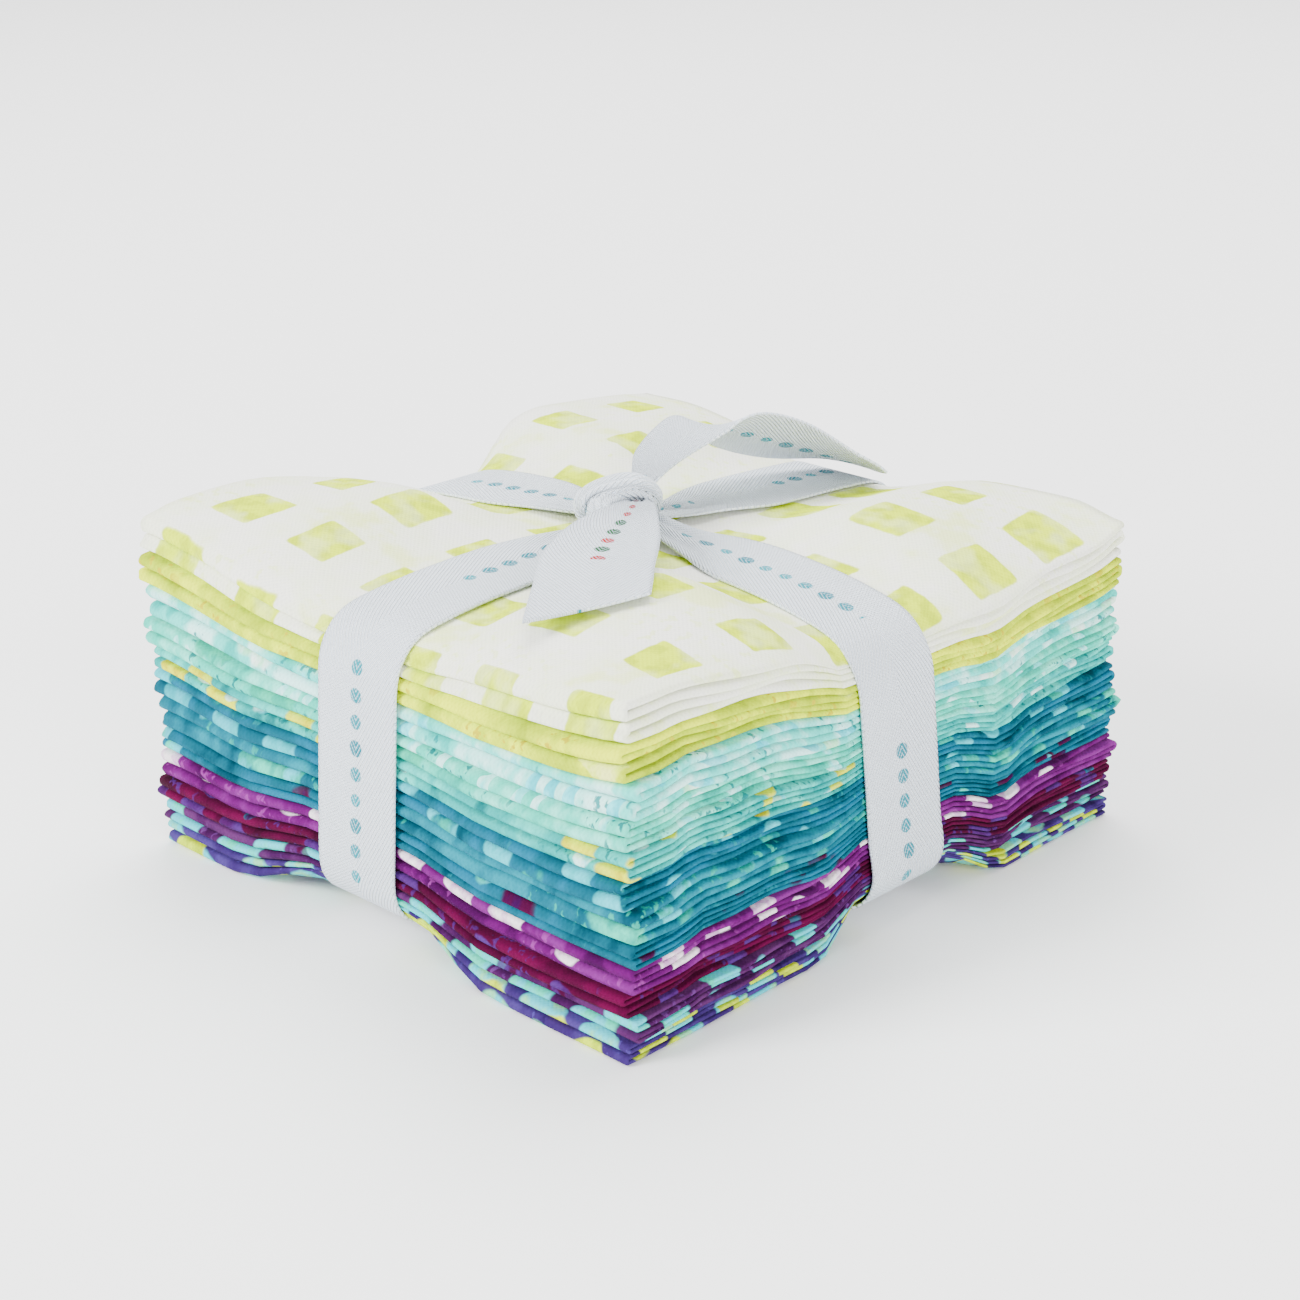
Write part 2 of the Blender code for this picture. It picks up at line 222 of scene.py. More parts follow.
def drift_y(y, z):
    """The lengthwise band leans to +X at the front top edge and to -X at the front bottom."""
    lean = (-1.6 + 3.6 * z / LEAN_HEIGHT) * MM
    return np.where(y < 0, (y / (DEPTH / 2)) ** 2, 0) * lean


def drift_x(x, z):
    """The crosswise band leans to the front at both top edges, and on the right back lower down."""
    lean = np.where(x > 0, 3.3 - 7.2 * z / LEAN_HEIGHT, -1.6) * MM
    return (x / (WIDTH / 2)) ** 2 * lean


def pull(band, across):
    """1 under the band, falling along a cosine to 0 where the band's pull ends."""
    past_edge = np.abs(across - band.middle) - PRESSED_WIDTH / 2
    return 0.5 + 0.5 * np.cos(np.pi * np.clip(past_edge / band.reach, 0, 1))


def held_by_bands(x, y, z):
    """How far each of the two bands holds a point: (lengthwise, crosswise), from 0 to 1."""
    return pull(ALONG_Y, x - drift_y(y, z)), pull(ALONG_X, y - drift_x(x, z))


print("pull 15 mm beside the lengthwise band:", round(float(pull(ALONG_Y, 0.0117)), 2))


# %% Height of the bottom and the top
def deepest(one, other):
    """Soft maximum of two dips: the sixth root of the sum of their sixth powers."""
    return (one**6 + other**6) ** (1 / 6)


def bottom_height(x, y):
    """0, raised where the two bands draw the bottom in, most of all at the rims."""
    held_y, held_x = held_by_bands(x, y, 0.0)
    near_end = np.abs(2 * y / DEPTH) ** BOTTOM_POWER
    near_side = np.abs(2 * x / WIDTH) ** BOTTOM_POWER
    raised_y = ALONG_Y.bottom_inner + (ALONG_Y.bottom_edge - ALONG_Y.bottom_inner) * near_end
    raised_x = ALONG_X.bottom_inner + (ALONG_X.bottom_edge - ALONG_X.bottom_inner) * near_side
    return deepest(held_y * raised_y, held_x * raised_x)


def top_height(x, y):
    """Plane through the corners + puff - dips inside + the rims' own lines near the rims."""
    s, t = np.clip(x / WIDTH + 0.5, 0, 1), np.clip(y / DEPTH + 0.5, 0, 1)
    front = CORNERS[0] + (CORNERS[1] - CORNERS[0]) * s
    back = CORNERS[2] + (CORNERS[3] - CORNERS[2]) * s
    plane = (front + (back - front) * t) * MM
    puff = CROWN * (1 - np.abs(2 * s - 1) ** CROWN_POWER) * (1 - np.abs(2 * t - 1) ** CROWN_POWER)
    near_side = np.abs(2 * s - 1) ** TOP_POWER
    near_end = np.abs(2 * t - 1) ** TOP_POWER
    held_y, held_x = held_by_bands(x, y, HEIGHT)
    inside = (1 - near_side) * (1 - near_end)
    dips = deepest(held_y * ALONG_Y.top_inner, held_x * ALONG_X.top_inner) * inside
    ends = np.where(y < 0, smooth_line(FRONT_RIM, x / MM), smooth_line(BACK_RIM, x / MM))
    sides = np.where(x < 0, smooth_line(LEFT_RIM, y / MM), smooth_line(RIGHT_RIM, y / MM))
    return plane + puff - dips + (ends * near_end + sides * near_side) * MM


def tied_heights(x, y):
    """Bottom and top of the tied stack at a place."""
    return bottom_height(x, y), top_height(x, y)


print("top at the middle, mm:", np.round(np.array(tied_heights(-0.0033, 0.002)) / MM, 2))


# %% Rounding the edges under a band
def round_rims(place, height, half, low, high, held):
    """Squeezes the square corner of a section into a quarter circle.

    A point (a, b) of the corner box moves to (a, b) * max(a, b) / hypot(a, b)."""
    out = np.clip((np.abs(place) - (half - RIM_ROUND)) / RIM_ROUND, 0, None)
    up = np.clip((height - (high - RIM_ROUND)) / RIM_ROUND, 0, None)
    down = np.clip((low + RIM_ROUND - height) / RIM_ROUND, 0, None)
    off = np.maximum(up, down)
    corner = (out > 0) & (off > 0)
    shrink = np.where(corner, np.maximum(out, off) / np.maximum(np.hypot(out, off), 1e-6), 1)
    taken = held * (1 - shrink) * RIM_ROUND
    return place - np.sign(place) * out * taken, height - (up - down) * taken


print("corner of the section, mm:", round_rims(0.0622, 0.053, 0.0622, 0.0, 0.053, 1.0))

# %% [markdown]
# ## Careless stacking
# No stack is square. Each piece lies a little to one side, its layers slide over each other, and
# the ends on the right side rise and fall together in soft waves where the stack was squeezed.
# The first two are sideways shifts that fade inside the rim. The waves are one height field that
# every layer shares, so no layer cuts through its neighbour.

# %% The table of pieces and the shared waves
Piece = namedtuple("Piece", "share left right front back")
PIECES = [
    Piece(6.2, 0.2, 0.0, -0.6, 0.2),
    Piece(5.2, 1.0, 0.9, -0.4, 0.6),
    Piece(6.0, 0.2, -0.3, 0.9, -0.8),
    Piece(4.8, 0.9, 0.7, -0.2, 0.3),
    Piece(4.4, 0.3, 0.6, 0.8, -0.5),
    Piece(4.9, -0.3, 0.8, -0.4, 0.7),
    Piece(5.6, -0.4, -0.6, 0.8, 0.9),
    Piece(3.9, -0.2, -0.4, 0.7, -0.3),
    Piece(4.8, 0.1, -0.5, 0.3, 0.6),
    Piece(4.0, 0.2, 0.4, -0.7, 0.4),
    Piece(4.0, 0.1, -0.8, 0.9, -0.6),
    Piece(3.9, -0.6, 0.3, 0.2, 0.5),
]
# Place along the side and height of the wave, in mm
RIGHT_WAVES = [(-63, -1.3), (-54, -1.1), (-48, 0.4), (-41, 0.1), (-31, 0.8), (-18, 0.2), (2, 0)]
RIGHT_WAVES += [(17, -0.4), (27, -1.0), (37, 0.9), (49, 0.4), (63, -0.7)]
LEFT_WAVES = [(-63, 0.6), (-50, -0.5), (-36, 0.6), (-20, -0.3), (2, 0), (20, 0.5), (33, -0.8)]
LEFT_WAVES += [(46, 0.6), (63, -0.5)]
WAVE_REACH = 34 * MM  # how far in from the side the waves go


def side_waves(x, y, z, held_x):
    """Wave height at the side, easing to 0 inwards, under the band, and at the top and bottom."""
    leaning = (y + 0.12 * (z - HEIGHT / 2)) / MM
    right = smooth_line(RIGHT_WAVES, leaning) * ease((x - WIDTH / 2 + WAVE_REACH) / WAVE_REACH)
    left = smooth_line(LEFT_WAVES, leaning) * ease((-x - WIDTH / 2 + WAVE_REACH) / WAVE_REACH)
    share = np.clip(z / HEIGHT, 0, 1)
    return (right + left) * MM * np.sin(np.pi * share) ** 0.7 * (1 - held_x)


print("pieces:", len(PIECES), "of shares adding up to", round(sum(p.share for p in PIECES), 1))


# %% Pressing points of the square stack into the tied one
def press(x, y, z, piece, slide_x, slide_y):
    """Slides the rims of a layer, sets heights between the tied bottom and top, adds the waves.

    slide_x and slide_y are a layer's own wanderings at the sides and at the folds."""
    held_y, held_x = held_by_bands(x, y, z)
    near_side = ease((np.abs(x) - WIDTH / 2 + RIM_SOFT_X) / (RIM_SOFT_X - 2 * MM))
    near_end = ease((np.abs(y) - DEPTH / 2 + RIM_SOFT_Y) / (RIM_SOFT_Y - 2 * MM))
    out_side = (piece.front + (piece.back - piece.front) * (y / DEPTH + 0.5)) * MM
    out_front = (piece.left + (piece.right - piece.left) * (x / WIDTH + 0.5)) * MM
    free_x = out_side + slide_x * np.sign(x)
    free_y = -out_front + slide_y * np.sign(y)
    new_x = x + near_side * (free_x * (1 - held_x) - np.sign(x) * ALONG_X.drawn * held_x)
    new_y = y + near_end * (free_y * (1 - held_y) - np.sign(y) * ALONG_Y.drawn * held_y)
    low, high = tied_heights(new_x, new_y)
    new_z = low + z / HEIGHT * (high - low) + side_waves(x, y, z, held_x)
    half_y, half_x = DEPTH / 2 - ALONG_Y.drawn, WIDTH / 2 - ALONG_X.drawn
    new_y, new_z = round_rims(new_y, new_z, half_y, low, high, held_y)
    new_x, new_z = round_rims(new_x, new_z, half_x, low, high, held_x)
    return np.stack([new_x, new_y, np.maximum(new_z, 0)], axis=-1)


# %% [markdown]
# ## A mesh from a grid
# Every surface here is a grid of points, so one helper turns a grid into a mesh. It also writes a
# UV map that holds the distance along the cloth in metres, which lets the dye and the weave run
# over the folds without a break.


# %% Helpers that make the meshes
def grid_faces(rows, columns, start=0):
    """The four corners of every cell of a grid, as an array of vertex numbers."""
    row, column = np.meshgrid(np.arange(rows - 1), np.arange(columns - 1), indexing="ij")
    first = (start + row * columns + column).ravel()
    return np.stack([first, first + 1, first + columns + 1, first + columns], axis=-1)


def mesh_from_grids(name, grids):
    """One mesh from a list of (points, uv) grids, smooth, with the UV map "cloth" in metres."""
    points, faces, flat = [], [], []
    start = 0
    for grid, uv in grids:
        faces.append(grid_faces(*grid.shape[:2], start))
        points.append(grid.reshape(-1, 3))
        flat.append(uv.reshape(-1, 2))
        start += len(points[-1])
    points, faces, flat = np.concatenate(points), np.concatenate(faces), np.concatenate(flat)
    mesh = bpy.data.meshes.new(name)
    mesh.from_pydata(points.tolist(), [], faces.tolist())
    layer = mesh.uv_layers.new(name="cloth")
    layer.data.foreach_set("uv", flat[faces.ravel()].astype(np.float32).ravel())
    mesh.polygons.foreach_set("use_smooth", np.ones(len(faces), bool))
    mesh.update()
    return mesh


def add_piece(name, mesh, thickness):
    """An object at the origin whose open sheet gets a thickness, half to each side."""
    made = bpy.data.objects.new(name, mesh)
    bpy.context.scene.collection.objects.link(made)
    cloth = made.modifiers.new("thickness", "SOLIDIFY")
    cloth.thickness = thickness
    cloth.offset = 0
    return made


def distance_along(points):
    """Running length of a line of points, starting at 0."""
    steps = np.linalg.norm(np.diff(points, axis=0), axis=-1)
    return np.concatenate([[0], np.cumsum(steps)])


print("faces of a 3 x 4 grid:", len(grid_faces(3, 4)))

# %% [markdown]
# ## The double fold
# The cloth is first folded in half across and in half again, which gives four plies 4.5 inches
# wide, and that strip is laid back and forth in four runs. So a point of the cloth needs two
# numbers: how far across (which ply, or which of the three folds between plies) and how far along
# (which run, or which of the three turns). Across gives x and an offset from the strip's middle.
# Along gives the middle line in the YZ plane and its normal. Their sum is the folded cloth.


# %% Across the cloth: four plies, nested
RAW_OUTER, RAW_INNER = 0.4 * MM, 1.1 * MM  # how far inside the left side the raw edges lie


def eased_run(first, last, count):
    """Places from first to last, closer together near both ends."""
    share = np.linspace(0, 1, count)
    return first + (last - first) * (0.6 * share + 0.2 * (1 - np.cos(np.pi * share)))


def half_turn(centre, offset, radius, first, last, count):
    """Points between two angles, in degrees, of a circle about (centre, offset)."""
    angles = np.radians(np.linspace(first, last, count + 2)[1:-1])
    return np.stack([centre + radius * np.cos(angles), offset + radius * np.sin(angles)], axis=-1)


def level_run(first, last, offset, count):
    """A straight run of one ply at its offset from the strip's middle."""
    places = eased_run(first, last, count)
    return np.stack([places, np.full(count, offset)], axis=-1)


def nested_profile(ply, count):
    """Raw edge, outer ply, wide fold, outer ply, tight fold, inner ply, tight fold, inner ply.

    Rows are (x, offset from the strip's middle); ply is the distance between two plies."""
    right = WIDTH / 2 - 2 * ply
    left = -WIDTH / 2 + ply
    raw = -WIDTH / 2
    parts = [
        level_run(raw + RAW_OUTER, right, 1.5 * ply, count),
        half_turn(right, 0, 1.5 * ply, 90, -90, 9),
        level_run(right, left, -1.5 * ply, count),
        half_turn(left, -ply, 0.5 * ply, 270, 90, 4),
        level_run(left, right, -0.5 * ply, count),
        half_turn(right, 0, 0.5 * ply, -90, 90, 4),
        level_run(right, raw + RAW_INNER, 0.5 * ply, count),
    ]
    return np.concatenate(parts)


print("cloth across, mm:", round(distance_along(nested_profile(0.3 * MM, 20))[-1] / MM, 1))


# %% Along the cloth: four runs, back and forth
def back_and_forth(low, pitch, count):
    """Middle line (y, z) of the strip from the bottom run's open end, and its unit normals.

    Run k lies at low + (k + 1/2) pitch; a turn is a half circle of radius pitch / 2."""
    reach = DEPTH / 2 - pitch
    line, normals = [], []
    for run in range(LAYERS):
        side = -1 if run % 2 == 0 else 1
        height = low + (run + 0.5) * pitch
        places = eased_run(-side * reach, side * reach, count)
        line.append(np.stack([places, np.full(count, height)], axis=-1))
        normals.append(np.tile([0.0, float(side)], (count, 1)))
        if run < LAYERS - 1:
            angles = np.radians(np.linspace(-90, 90, 9)[1:-1])
            out = np.stack([side * np.cos(angles), np.sin(angles)], axis=-1)
            line.append(np.array([side * reach, height + pitch / 2]) + out * pitch / 2)
            normals.append(out * -side)
    return np.concatenate(line), np.concatenate(normals)


line, normals = back_and_forth(0.0, 1.2 * MM, 20)
print("cloth along, mm:", round(distance_along(line)[-1] / MM, 1))


# %% One folded fat quarter
PLY_GAP = 0.24 * MM  # left between two runs of a piece
CLOTH_SHARE = 0.86  # a ply's thickness as a share of the distance between plies
SLIDE = 0.42 * MM  # how far a layer slides out of line
FINE_GRID, PLAIN_GRID = (38, 42), (20, 32)  # points across each ply and along each run


def folded_cloth(number, piece, low, high, across, along):
    """Points and flat places of a piece: P = middle(v) + normal(v) * offset(u) + x(u)."""
    pitch = (high - low) / LAYERS
    ply = (pitch - PLY_GAP) / 4
    profile = nested_profile(ply, across)
    line, normals = back_and_forth(low, pitch, along)
    u, v = distance_along(profile), distance_along(line)
    x = np.broadcast_to(profile[:, 0], (len(v), len(u)))
    y = line[:, :1] + normals[:, :1] * profile[:, 1]
    z = line[:, 1:] + normals[:, 1:] * profile[:, 1]
    slide_x = SLIDE * wander(number * 10 + 1, v, 60 * MM)[:, None] * np.ones_like(x)
    turn = (wander(number * 10 + 2, line[:, 1], 2.4 * MM))[:, None]
    slide_y = SLIDE * (0.7 * turn + 0.5 * wander(number * 10 + 3, x + 2 * y, 70 * MM))
    points = press(x, y, z, piece, slide_x, slide_y)
    flat = np.stack(np.broadcast_arrays(u, v[:, None]), axis=-1)
    return points, flat, ply


def make_fat_quarters():
    """All twelve, from the top down, each in its share of the height. The top one is finer."""
    made = []
    total = sum(piece.share for piece in PIECES)
    high = HEIGHT + LAYER_GAP / 2
    for number, piece in enumerate(PIECES, start=1):
        low = high - (HEIGHT + LAYER_GAP) * piece.share / total
        across, along = FINE_GRID if number == 1 else PLAIN_GRID
        points, flat, ply = folded_cloth(number, piece, low, high, across, along)
        name = f"folded_cloth_{number:02d}"
        made.append(add_piece(name, mesh_from_grids(name, [(points, flat)]), CLOTH_SHARE * ply))
        high = low
    return made


fat_quarters = make_fat_quarters()
print("faces per piece:", [len(piece.data.polygons) for piece in fat_quarters])

# %% [markdown]
# ## The ribbon
# The tie is one flat twill tape. On the real bundle it is laid round one way, crossed underneath,
# brought up the other way and knotted on top. Each band follows the outline of the stack's section
# under it, moved out by half the tape and a little air. Near the knot the tape is gathered: it
# narrows, lifts off the cloth and falls into pleats.

# %% Sizes of the tape
TAPE = 0.45 * MM
SEAT = 0.55 * MM  # from the cloth to the middle of the tape
CROSSING = 0.55 * MM  # how much lower the crosswise band runs under the other one
KNOT = Vector((-3.6, 1.4)) * MM  # where the bands meet on top, seen from above
GATHER_REACH = 30 * MM
KNOT_WIDTH = 0.36  # share of the width that is left in the knot
BAND_LIFT = 2.8 * MM  # how far the gathering lifts the tape at the knot
ON_TOP = 0.75  # share of the height above which the tape counts as lying on top
NEAR_FLOOR = 0.3  # share of the height below which one band runs under the other
SINK_OVER = 8 * MM  # the height over which it sinks there
PLEAT = 0.55 * MM
ACROSS = 25  # points across the tape


# %% The outline that a band follows
def evenly(line, step):
    """The same line with points a fixed step apart."""
    length = distance_along(line)
    at = np.linspace(0, length[-1], int(length[-1] / step) + 1)
    return np.stack([np.interp(at, length, column) for column in line.T], axis=-1)


def smoothed(line, times):
    """Each point moves to the mean of itself, twice, and its neighbours; the ends stay."""
    line = line.copy()
    for _ in range(times):
        line[1:-1] = (line[:-2] + 2 * line[1:-1] + line[2:]) / 4
    return line


def outline(heights_at, half, knot_place):
    """Section of the stack under a band as (place, height), from the knot round to the knot."""
    ends = heights_at(np.array([-half, half]))
    first = np.linspace(knot_place, -half, 60)
    under = np.linspace(-half, half, 90)
    last = np.linspace(half, knot_place, 60)
    left = np.linspace(ends[1][0], ends[0][0], 50)
    right = np.linspace(ends[0][1], ends[1][1], 50)
    parts = [
        np.stack([first, heights_at(first)[1]], -1),
        np.stack([np.full(50, -half), left], -1),
        np.stack([under, heights_at(under)[0]], -1),
        np.stack([np.full(50, half), right], -1),
        np.stack([last, heights_at(last)[1]], -1),
    ]
    square = np.concatenate(parts)
    low, high = heights_at(np.clip(square[:, 0], -half, half))
    round_one = round_rims(square[:, 0], square[:, 1], half, low, high, 1.0)
    return smoothed(evenly(np.stack(round_one, -1), 1.1 * MM), 6)


def outward(line):
    """Unit normals to the right of the way the line goes, which is away from the stack."""
    ahead = np.gradient(line, axis=0)
    ahead /= np.linalg.norm(ahead, axis=-1, keepdims=True)
    return np.stack([ahead[:, 1], -ahead[:, 0]], -1)


# %% The two bands
def band(heights_at, half, knot_place, sink, curl, place_point):
    """Grid of a band: outline + normal * (seat + sink + lift + pleat), and across the tape.

    curl bends one edge down near the knot; place_point turns (along, across, up) into x, y, z."""
    line = outline(heights_at, half, knot_place)
    normal = outward(line)
    on_top = line[:, 1] > HEIGHT * ON_TOP
    away = np.where(on_top, np.abs(line[:, 0] - knot_place), GATHER_REACH)
    loose = 1 - np.clip(away / GATHER_REACH, 0, 1)
    width = RIBBON_WIDTH * (1 - (1 - KNOT_WIDTH) * ease(loose * 1.15))
    across = np.linspace(-1, 1, ACROSS)
    below = ease((HEIGHT * NEAR_FLOOR - line[:, 1]) / SINK_OVER)
    height = SEAT + sink * below + BAND_LIFT * loose**1.5
    pleats = PLEAT * ease(loose * 1.3 - 0.2)[:, None] * np.cos(2.6 * np.pi * across + 0.6)
    edge = curl * (loose**1.5)[:, None] * np.clip(-across, 0, 1) ** 2
    off = height[:, None] + pleats - edge
    along = line[:, :1] + normal[:, :1] * off
    up = line[:, 1:] + normal[:, 1:] * off
    points = place_point(along, across * width[:, None] / 2, up)
    flat_across = np.broadcast_to((across + 1) * RIBBON_WIDTH / 2, along.shape)
    flat_along = np.broadcast_to(distance_along(line)[:, None], along.shape)
    return points, np.stack([flat_across, flat_along], -1)


def lengthwise_band():
    """Runs along Y at the lengthwise middle, leaning with drift_y."""

    def heights_at(y):
        return tied_heights(ALONG_Y.middle + drift_y(y, HEIGHT), y)

    def place_point(along, across, up):
        x = ALONG_Y.middle + drift_y(along, up) + across
        return np.stack([x, along, up], -1)

    half = DEPTH / 2 - ALONG_Y.drawn
    return band(heights_at, half, KNOT.y, 0.0, 0.8 * MM, place_point)


def crosswise_band():
    """Runs along X at the crosswise middle, leaning with drift_x, under the other band."""

    def heights_at(x):
        return tied_heights(x, ALONG_X.middle + drift_x(x, HEIGHT))

    def place_point(along, across, up):
        y = ALONG_X.middle + drift_x(along, up) + across
        return np.stack([along, y, up], -1)

    half = WIDTH / 2 - ALONG_X.drawn
    return band(heights_at, half, KNOT.x, CROSSING, 0.6 * MM, place_point)


bands = [lengthwise_band(), crosswise_band()]
print("bands, mm of tape:", [round(float(uv[..., 1].max()) / MM, 1) for _, uv in bands])

# %% [markdown]
# ## The two free ends
# The front end drops from the knot and lies nearly flat on the top, cut at a slant. The back end
# stands up in an arch, turns on its side and comes down near the back edge. Both are a strip along
# a curve through a short table of places, with a width and a bank angle at each.

# %% The tables of the free ends
Row = namedtuple("Row", "x y z width bank")
FRONT_END = [
    Row(-3.2, 2.6, 60.0, 4.6, 0),
    Row(1.0, -2.6, 61.4, 7.0, 0),
    Row(5.6, -9.4, 61.8, 10.8, 2),
    Row(10.2, -17.4, 61.6, 15.6, 2),
    Row(17.0, -27.6, 61.6, 18.4, 0),
    Row(25.0, -37.0, 61.3, 18.5, 0),
    Row(31.8, -45.0, 61.0, 18.5, 0),
]
BACK_END = [
    Row(-4.0, 3.0, 61.2, 4.0, 0),
    Row(-5.1, 6.2, 63.0, 5.0, -6),
    Row(-6.7, 11.0, 65.2, 8.6, -6),
    Row(-7.2, 17.8, 67.4, 12.0, -4),
    Row(-6.8, 23.4, 68.5, 15.5, 4),
    Row(-5.2, 29.0, 67.0, 18.5, 28),
    Row(-2.0, 41.0, 62.4, 18.5, 30),
    Row(2.2, 52.0, 58.0, 18.5, 12),
    Row(4.2, 58.0, 55.4, 18.5, 2),
]
FRONT_SLANT = 13.0 * MM
BACK_SLANT = -6.5 * MM
FRONT_FROM, BACK_FROM = 0.388, 0.55  # m along the tape where each end starts, for its dots


# %% A strip along a curve
def through(rows, count):
    """A Catmull-Rom curve through the rows of a table, all columns at once."""
    table = np.array(rows, float)
    padded = np.vstack([2 * table[0] - table[1], table, 2 * table[-1] - table[-2]])
    at = np.linspace(0, len(table) - 1, count)
    k = np.minimum(at.astype(int), len(table) - 2)
    t = (at - k)[:, None]
    a, b, c, d = (padded[k + i] for i in range(4))
    bend = (2 * a - 5 * b + 4 * c - d) * t**2 + (3 * b - a - 3 * c + d) * t**3
    return (2 * b + (c - a) * t + bend) / 2


def unit(vectors):
    """Each vector divided by its own length."""
    return vectors / np.linalg.norm(vectors, axis=-1, keepdims=True)


def free_end(rows, slant, cup, from_knot):
    """Curve + sideways * across + up * (cup + pleats); the cut is slanted by stretching along.

    cup is how much the edges stand above the middle; pleats fade over the first fifth."""
    curve = through(rows, 90)
    middle, width, bank = curve[:, :3] * MM, curve[:, 3] * MM, np.radians(curve[:, 4])
    ahead = unit(np.gradient(middle, axis=0))
    level = unit(np.cross(ahead, [0.0, 0.0, 1.0]))
    rise = np.cross(level, ahead)
    side = level * np.cos(bank)[:, None] + rise * np.sin(bank)[:, None]
    up = np.cross(side, ahead)
    across = np.linspace(-1, 1, ACROSS)
    share = np.linspace(0, 1, len(middle))
    pleat = PLEAT * 0.7 * (1 - ease(share * 5))[:, None] * np.cos(3.4 * np.pi * across)
    off = cup * (across**2 - 0.33) * ease(share * 2)[:, None] + pleat
    stretch = across * (share**3)[:, None] * slant / 2
    points = middle[:, None] + side[:, None] * (across * width[:, None] / 2)[..., None]
    points = points + up[:, None] * off[..., None] + ahead[:, None] * stretch[..., None]
    flat_across = np.broadcast_to((across + 1) * RIBBON_WIDTH / 2, off.shape)
    flat_along = from_knot + distance_along(middle)[:, None] + stretch
    return points, np.stack([flat_across, flat_along], -1)


ends = [
    free_end(FRONT_END, FRONT_SLANT, 0.35 * MM, FRONT_FROM),
    free_end(BACK_END, BACK_SLANT, 0.5 * MM, BACK_FROM),
]
print("free ends, mm:", [round(float(np.ptp(uv[..., 1])) / MM, 1) for _, uv in ends])

# %% [markdown]
# ## The knot
# In the knot the tape is squeezed into a soft rope with lengthwise pleats. Two such ropes cross:
# one wraps over the top from a round lobe on the left, the other holds it from below. Each is a
# flattened tube whose section ripples, carried along a short curve.

# %% The ropes of the knot
Turn = namedtuple("Turn", "x y z wide high")
WRAP = [
    Turn(-3.6, -3.8, 57.6, 3.0, 2.0),
    Turn(-6.4, -6.2, 58.6, 3.6, 2.6),
    Turn(-7.4, -6.4, 60.4, 4.2, 3.2),
    Turn(-6.8, -4.2, 61.8, 4.6, 3.6),
    Turn(-5.0, -0.6, 62.4, 6.4, 4.4),
    Turn(-3.2, 2.0, 62.4, 6.6, 4.4),
    Turn(-1.5, 4.0, 61.0, 4.8, 3.2),
    Turn(-1.6, 4.6, 58.6, 3.0, 2.2),
]
UNDER = [
    Turn(2.6, -9.0, 58.8, 2.4, 1.8),
    Turn(0.0, -9.2, 60.2, 3.4, 2.6),
    Turn(-2.2, -7.8, 60.8, 4.2, 3.2),
    Turn(-4.0, -4.6, 60.6, 4.8, 3.2),
    Turn(-5.0, -0.8, 60.2, 5.6, 3.6),
    Turn(-6.2, 2.8, 60.0, 6.0, 3.6),
    Turn(-6.8, 5.6, 58.4, 4.0, 2.4),
]
ROUND = 41  # points round a rope
WRAP_FROM, UNDER_FROM = 0.70, 0.80  # m along the tape


def rope(turns, seed, from_knot):
    """Curve + side * w/2 cos(a) r(a) + up * h/2 sin(a) r(a), with a rippled radius r(a)."""
    curve = through(turns, 46)
    middle = curve[:, :3] * MM
    ahead = unit(np.gradient(middle, axis=0))
    centre = middle.mean(axis=0) - [0, 0, 4 * MM]
    up = middle - centre
    up = unit(up - ahead * (up * ahead).sum(-1, keepdims=True))
    side = np.cross(ahead, up)
    angle = np.linspace(0, 2 * np.pi, ROUND)
    share = np.linspace(0, 1, len(middle))[:, None]
    ripple = 1 + 0.10 * np.cos(7 * angle + 2.2 * share + seed)
    ripple = ripple + 0.05 * np.cos(11 * angle - 3 * share + 2 * seed)
    wide = curve[:, 3, None] * MM / 2 * np.cos(angle) * ripple
    high = curve[:, 4, None] * MM / 2 * np.sin(angle) * ripple
    points = middle[:, None] + side[:, None] * wide[..., None] + up[:, None] * high[..., None]
    flat_across = np.broadcast_to(angle / (2 * np.pi) * RIBBON_WIDTH, wide.shape)
    flat_along = from_knot + np.broadcast_to(distance_along(middle)[:, None], wide.shape)
    return points, np.stack([flat_across, flat_along], -1)


ropes = [rope(WRAP, 0.4, WRAP_FROM), rope(UNDER, 1.9, UNDER_FROM)]
tape = add_piece("ribbon_tie", mesh_from_grids("ribbon_tie", bands + ends + ropes), TAPE)
tape_length = sum(float(np.ptp(uv[..., 1])) for _, uv in bands + ends + ropes)
print("tape in all, mm:", round(tape_length / MM))

# %% [markdown]
# ## Dye and weave as node groups
# Batik is dyed more than once: a mottled ground, then shapes that wax kept clear. So the finish is
# built from four groups that every cloth shares, each placed with its own values: the mottled
# ground, a grid of printed shapes, the plain weave and the twill. They read the UV map in metres,
# so a shape that is 9 mm wide stays 9 mm wide and wraps round the folds as real print does.


# %% Small tools for node trees
# Light that the view transform shows as a grey of each screen step
SCREEN = [0, 30, 60, 90, 119, 150, 170, 196, 210, 218, 227, 232, 241, 255]
LIGHT = [0, 0.011, 0.043, 0.10, 0.18, 0.33, 0.50, 1.0, 1.5, 2.0, 3.0, 4.0, 6.0, 9.0]
LIT = 3.5  # how brightly the studio lights a white piece
VIVID = 0.2  # how much of a colour's difference from grey the view transform takes away
LIGHTEST = 0.88  # no cloth gives back more of the light than this


def dye(red, green, blue):
    """The paint that the studio and the view transform turn into this colour on screen.

    Each step is turned back into light, moved away from the grey of the three, divided by how
    brightly the piece is lit, and scaled down as one where the paint would be too light."""
    light = np.interp([red, green, blue], SCREEN, LIGHT)
    light = np.clip(light + VIVID * (light - light.mean()), 0, None)
    paint = light * min(1 / LIT, LIGHTEST / light.max())
    return (*[float(value) for value in paint], 1.0)


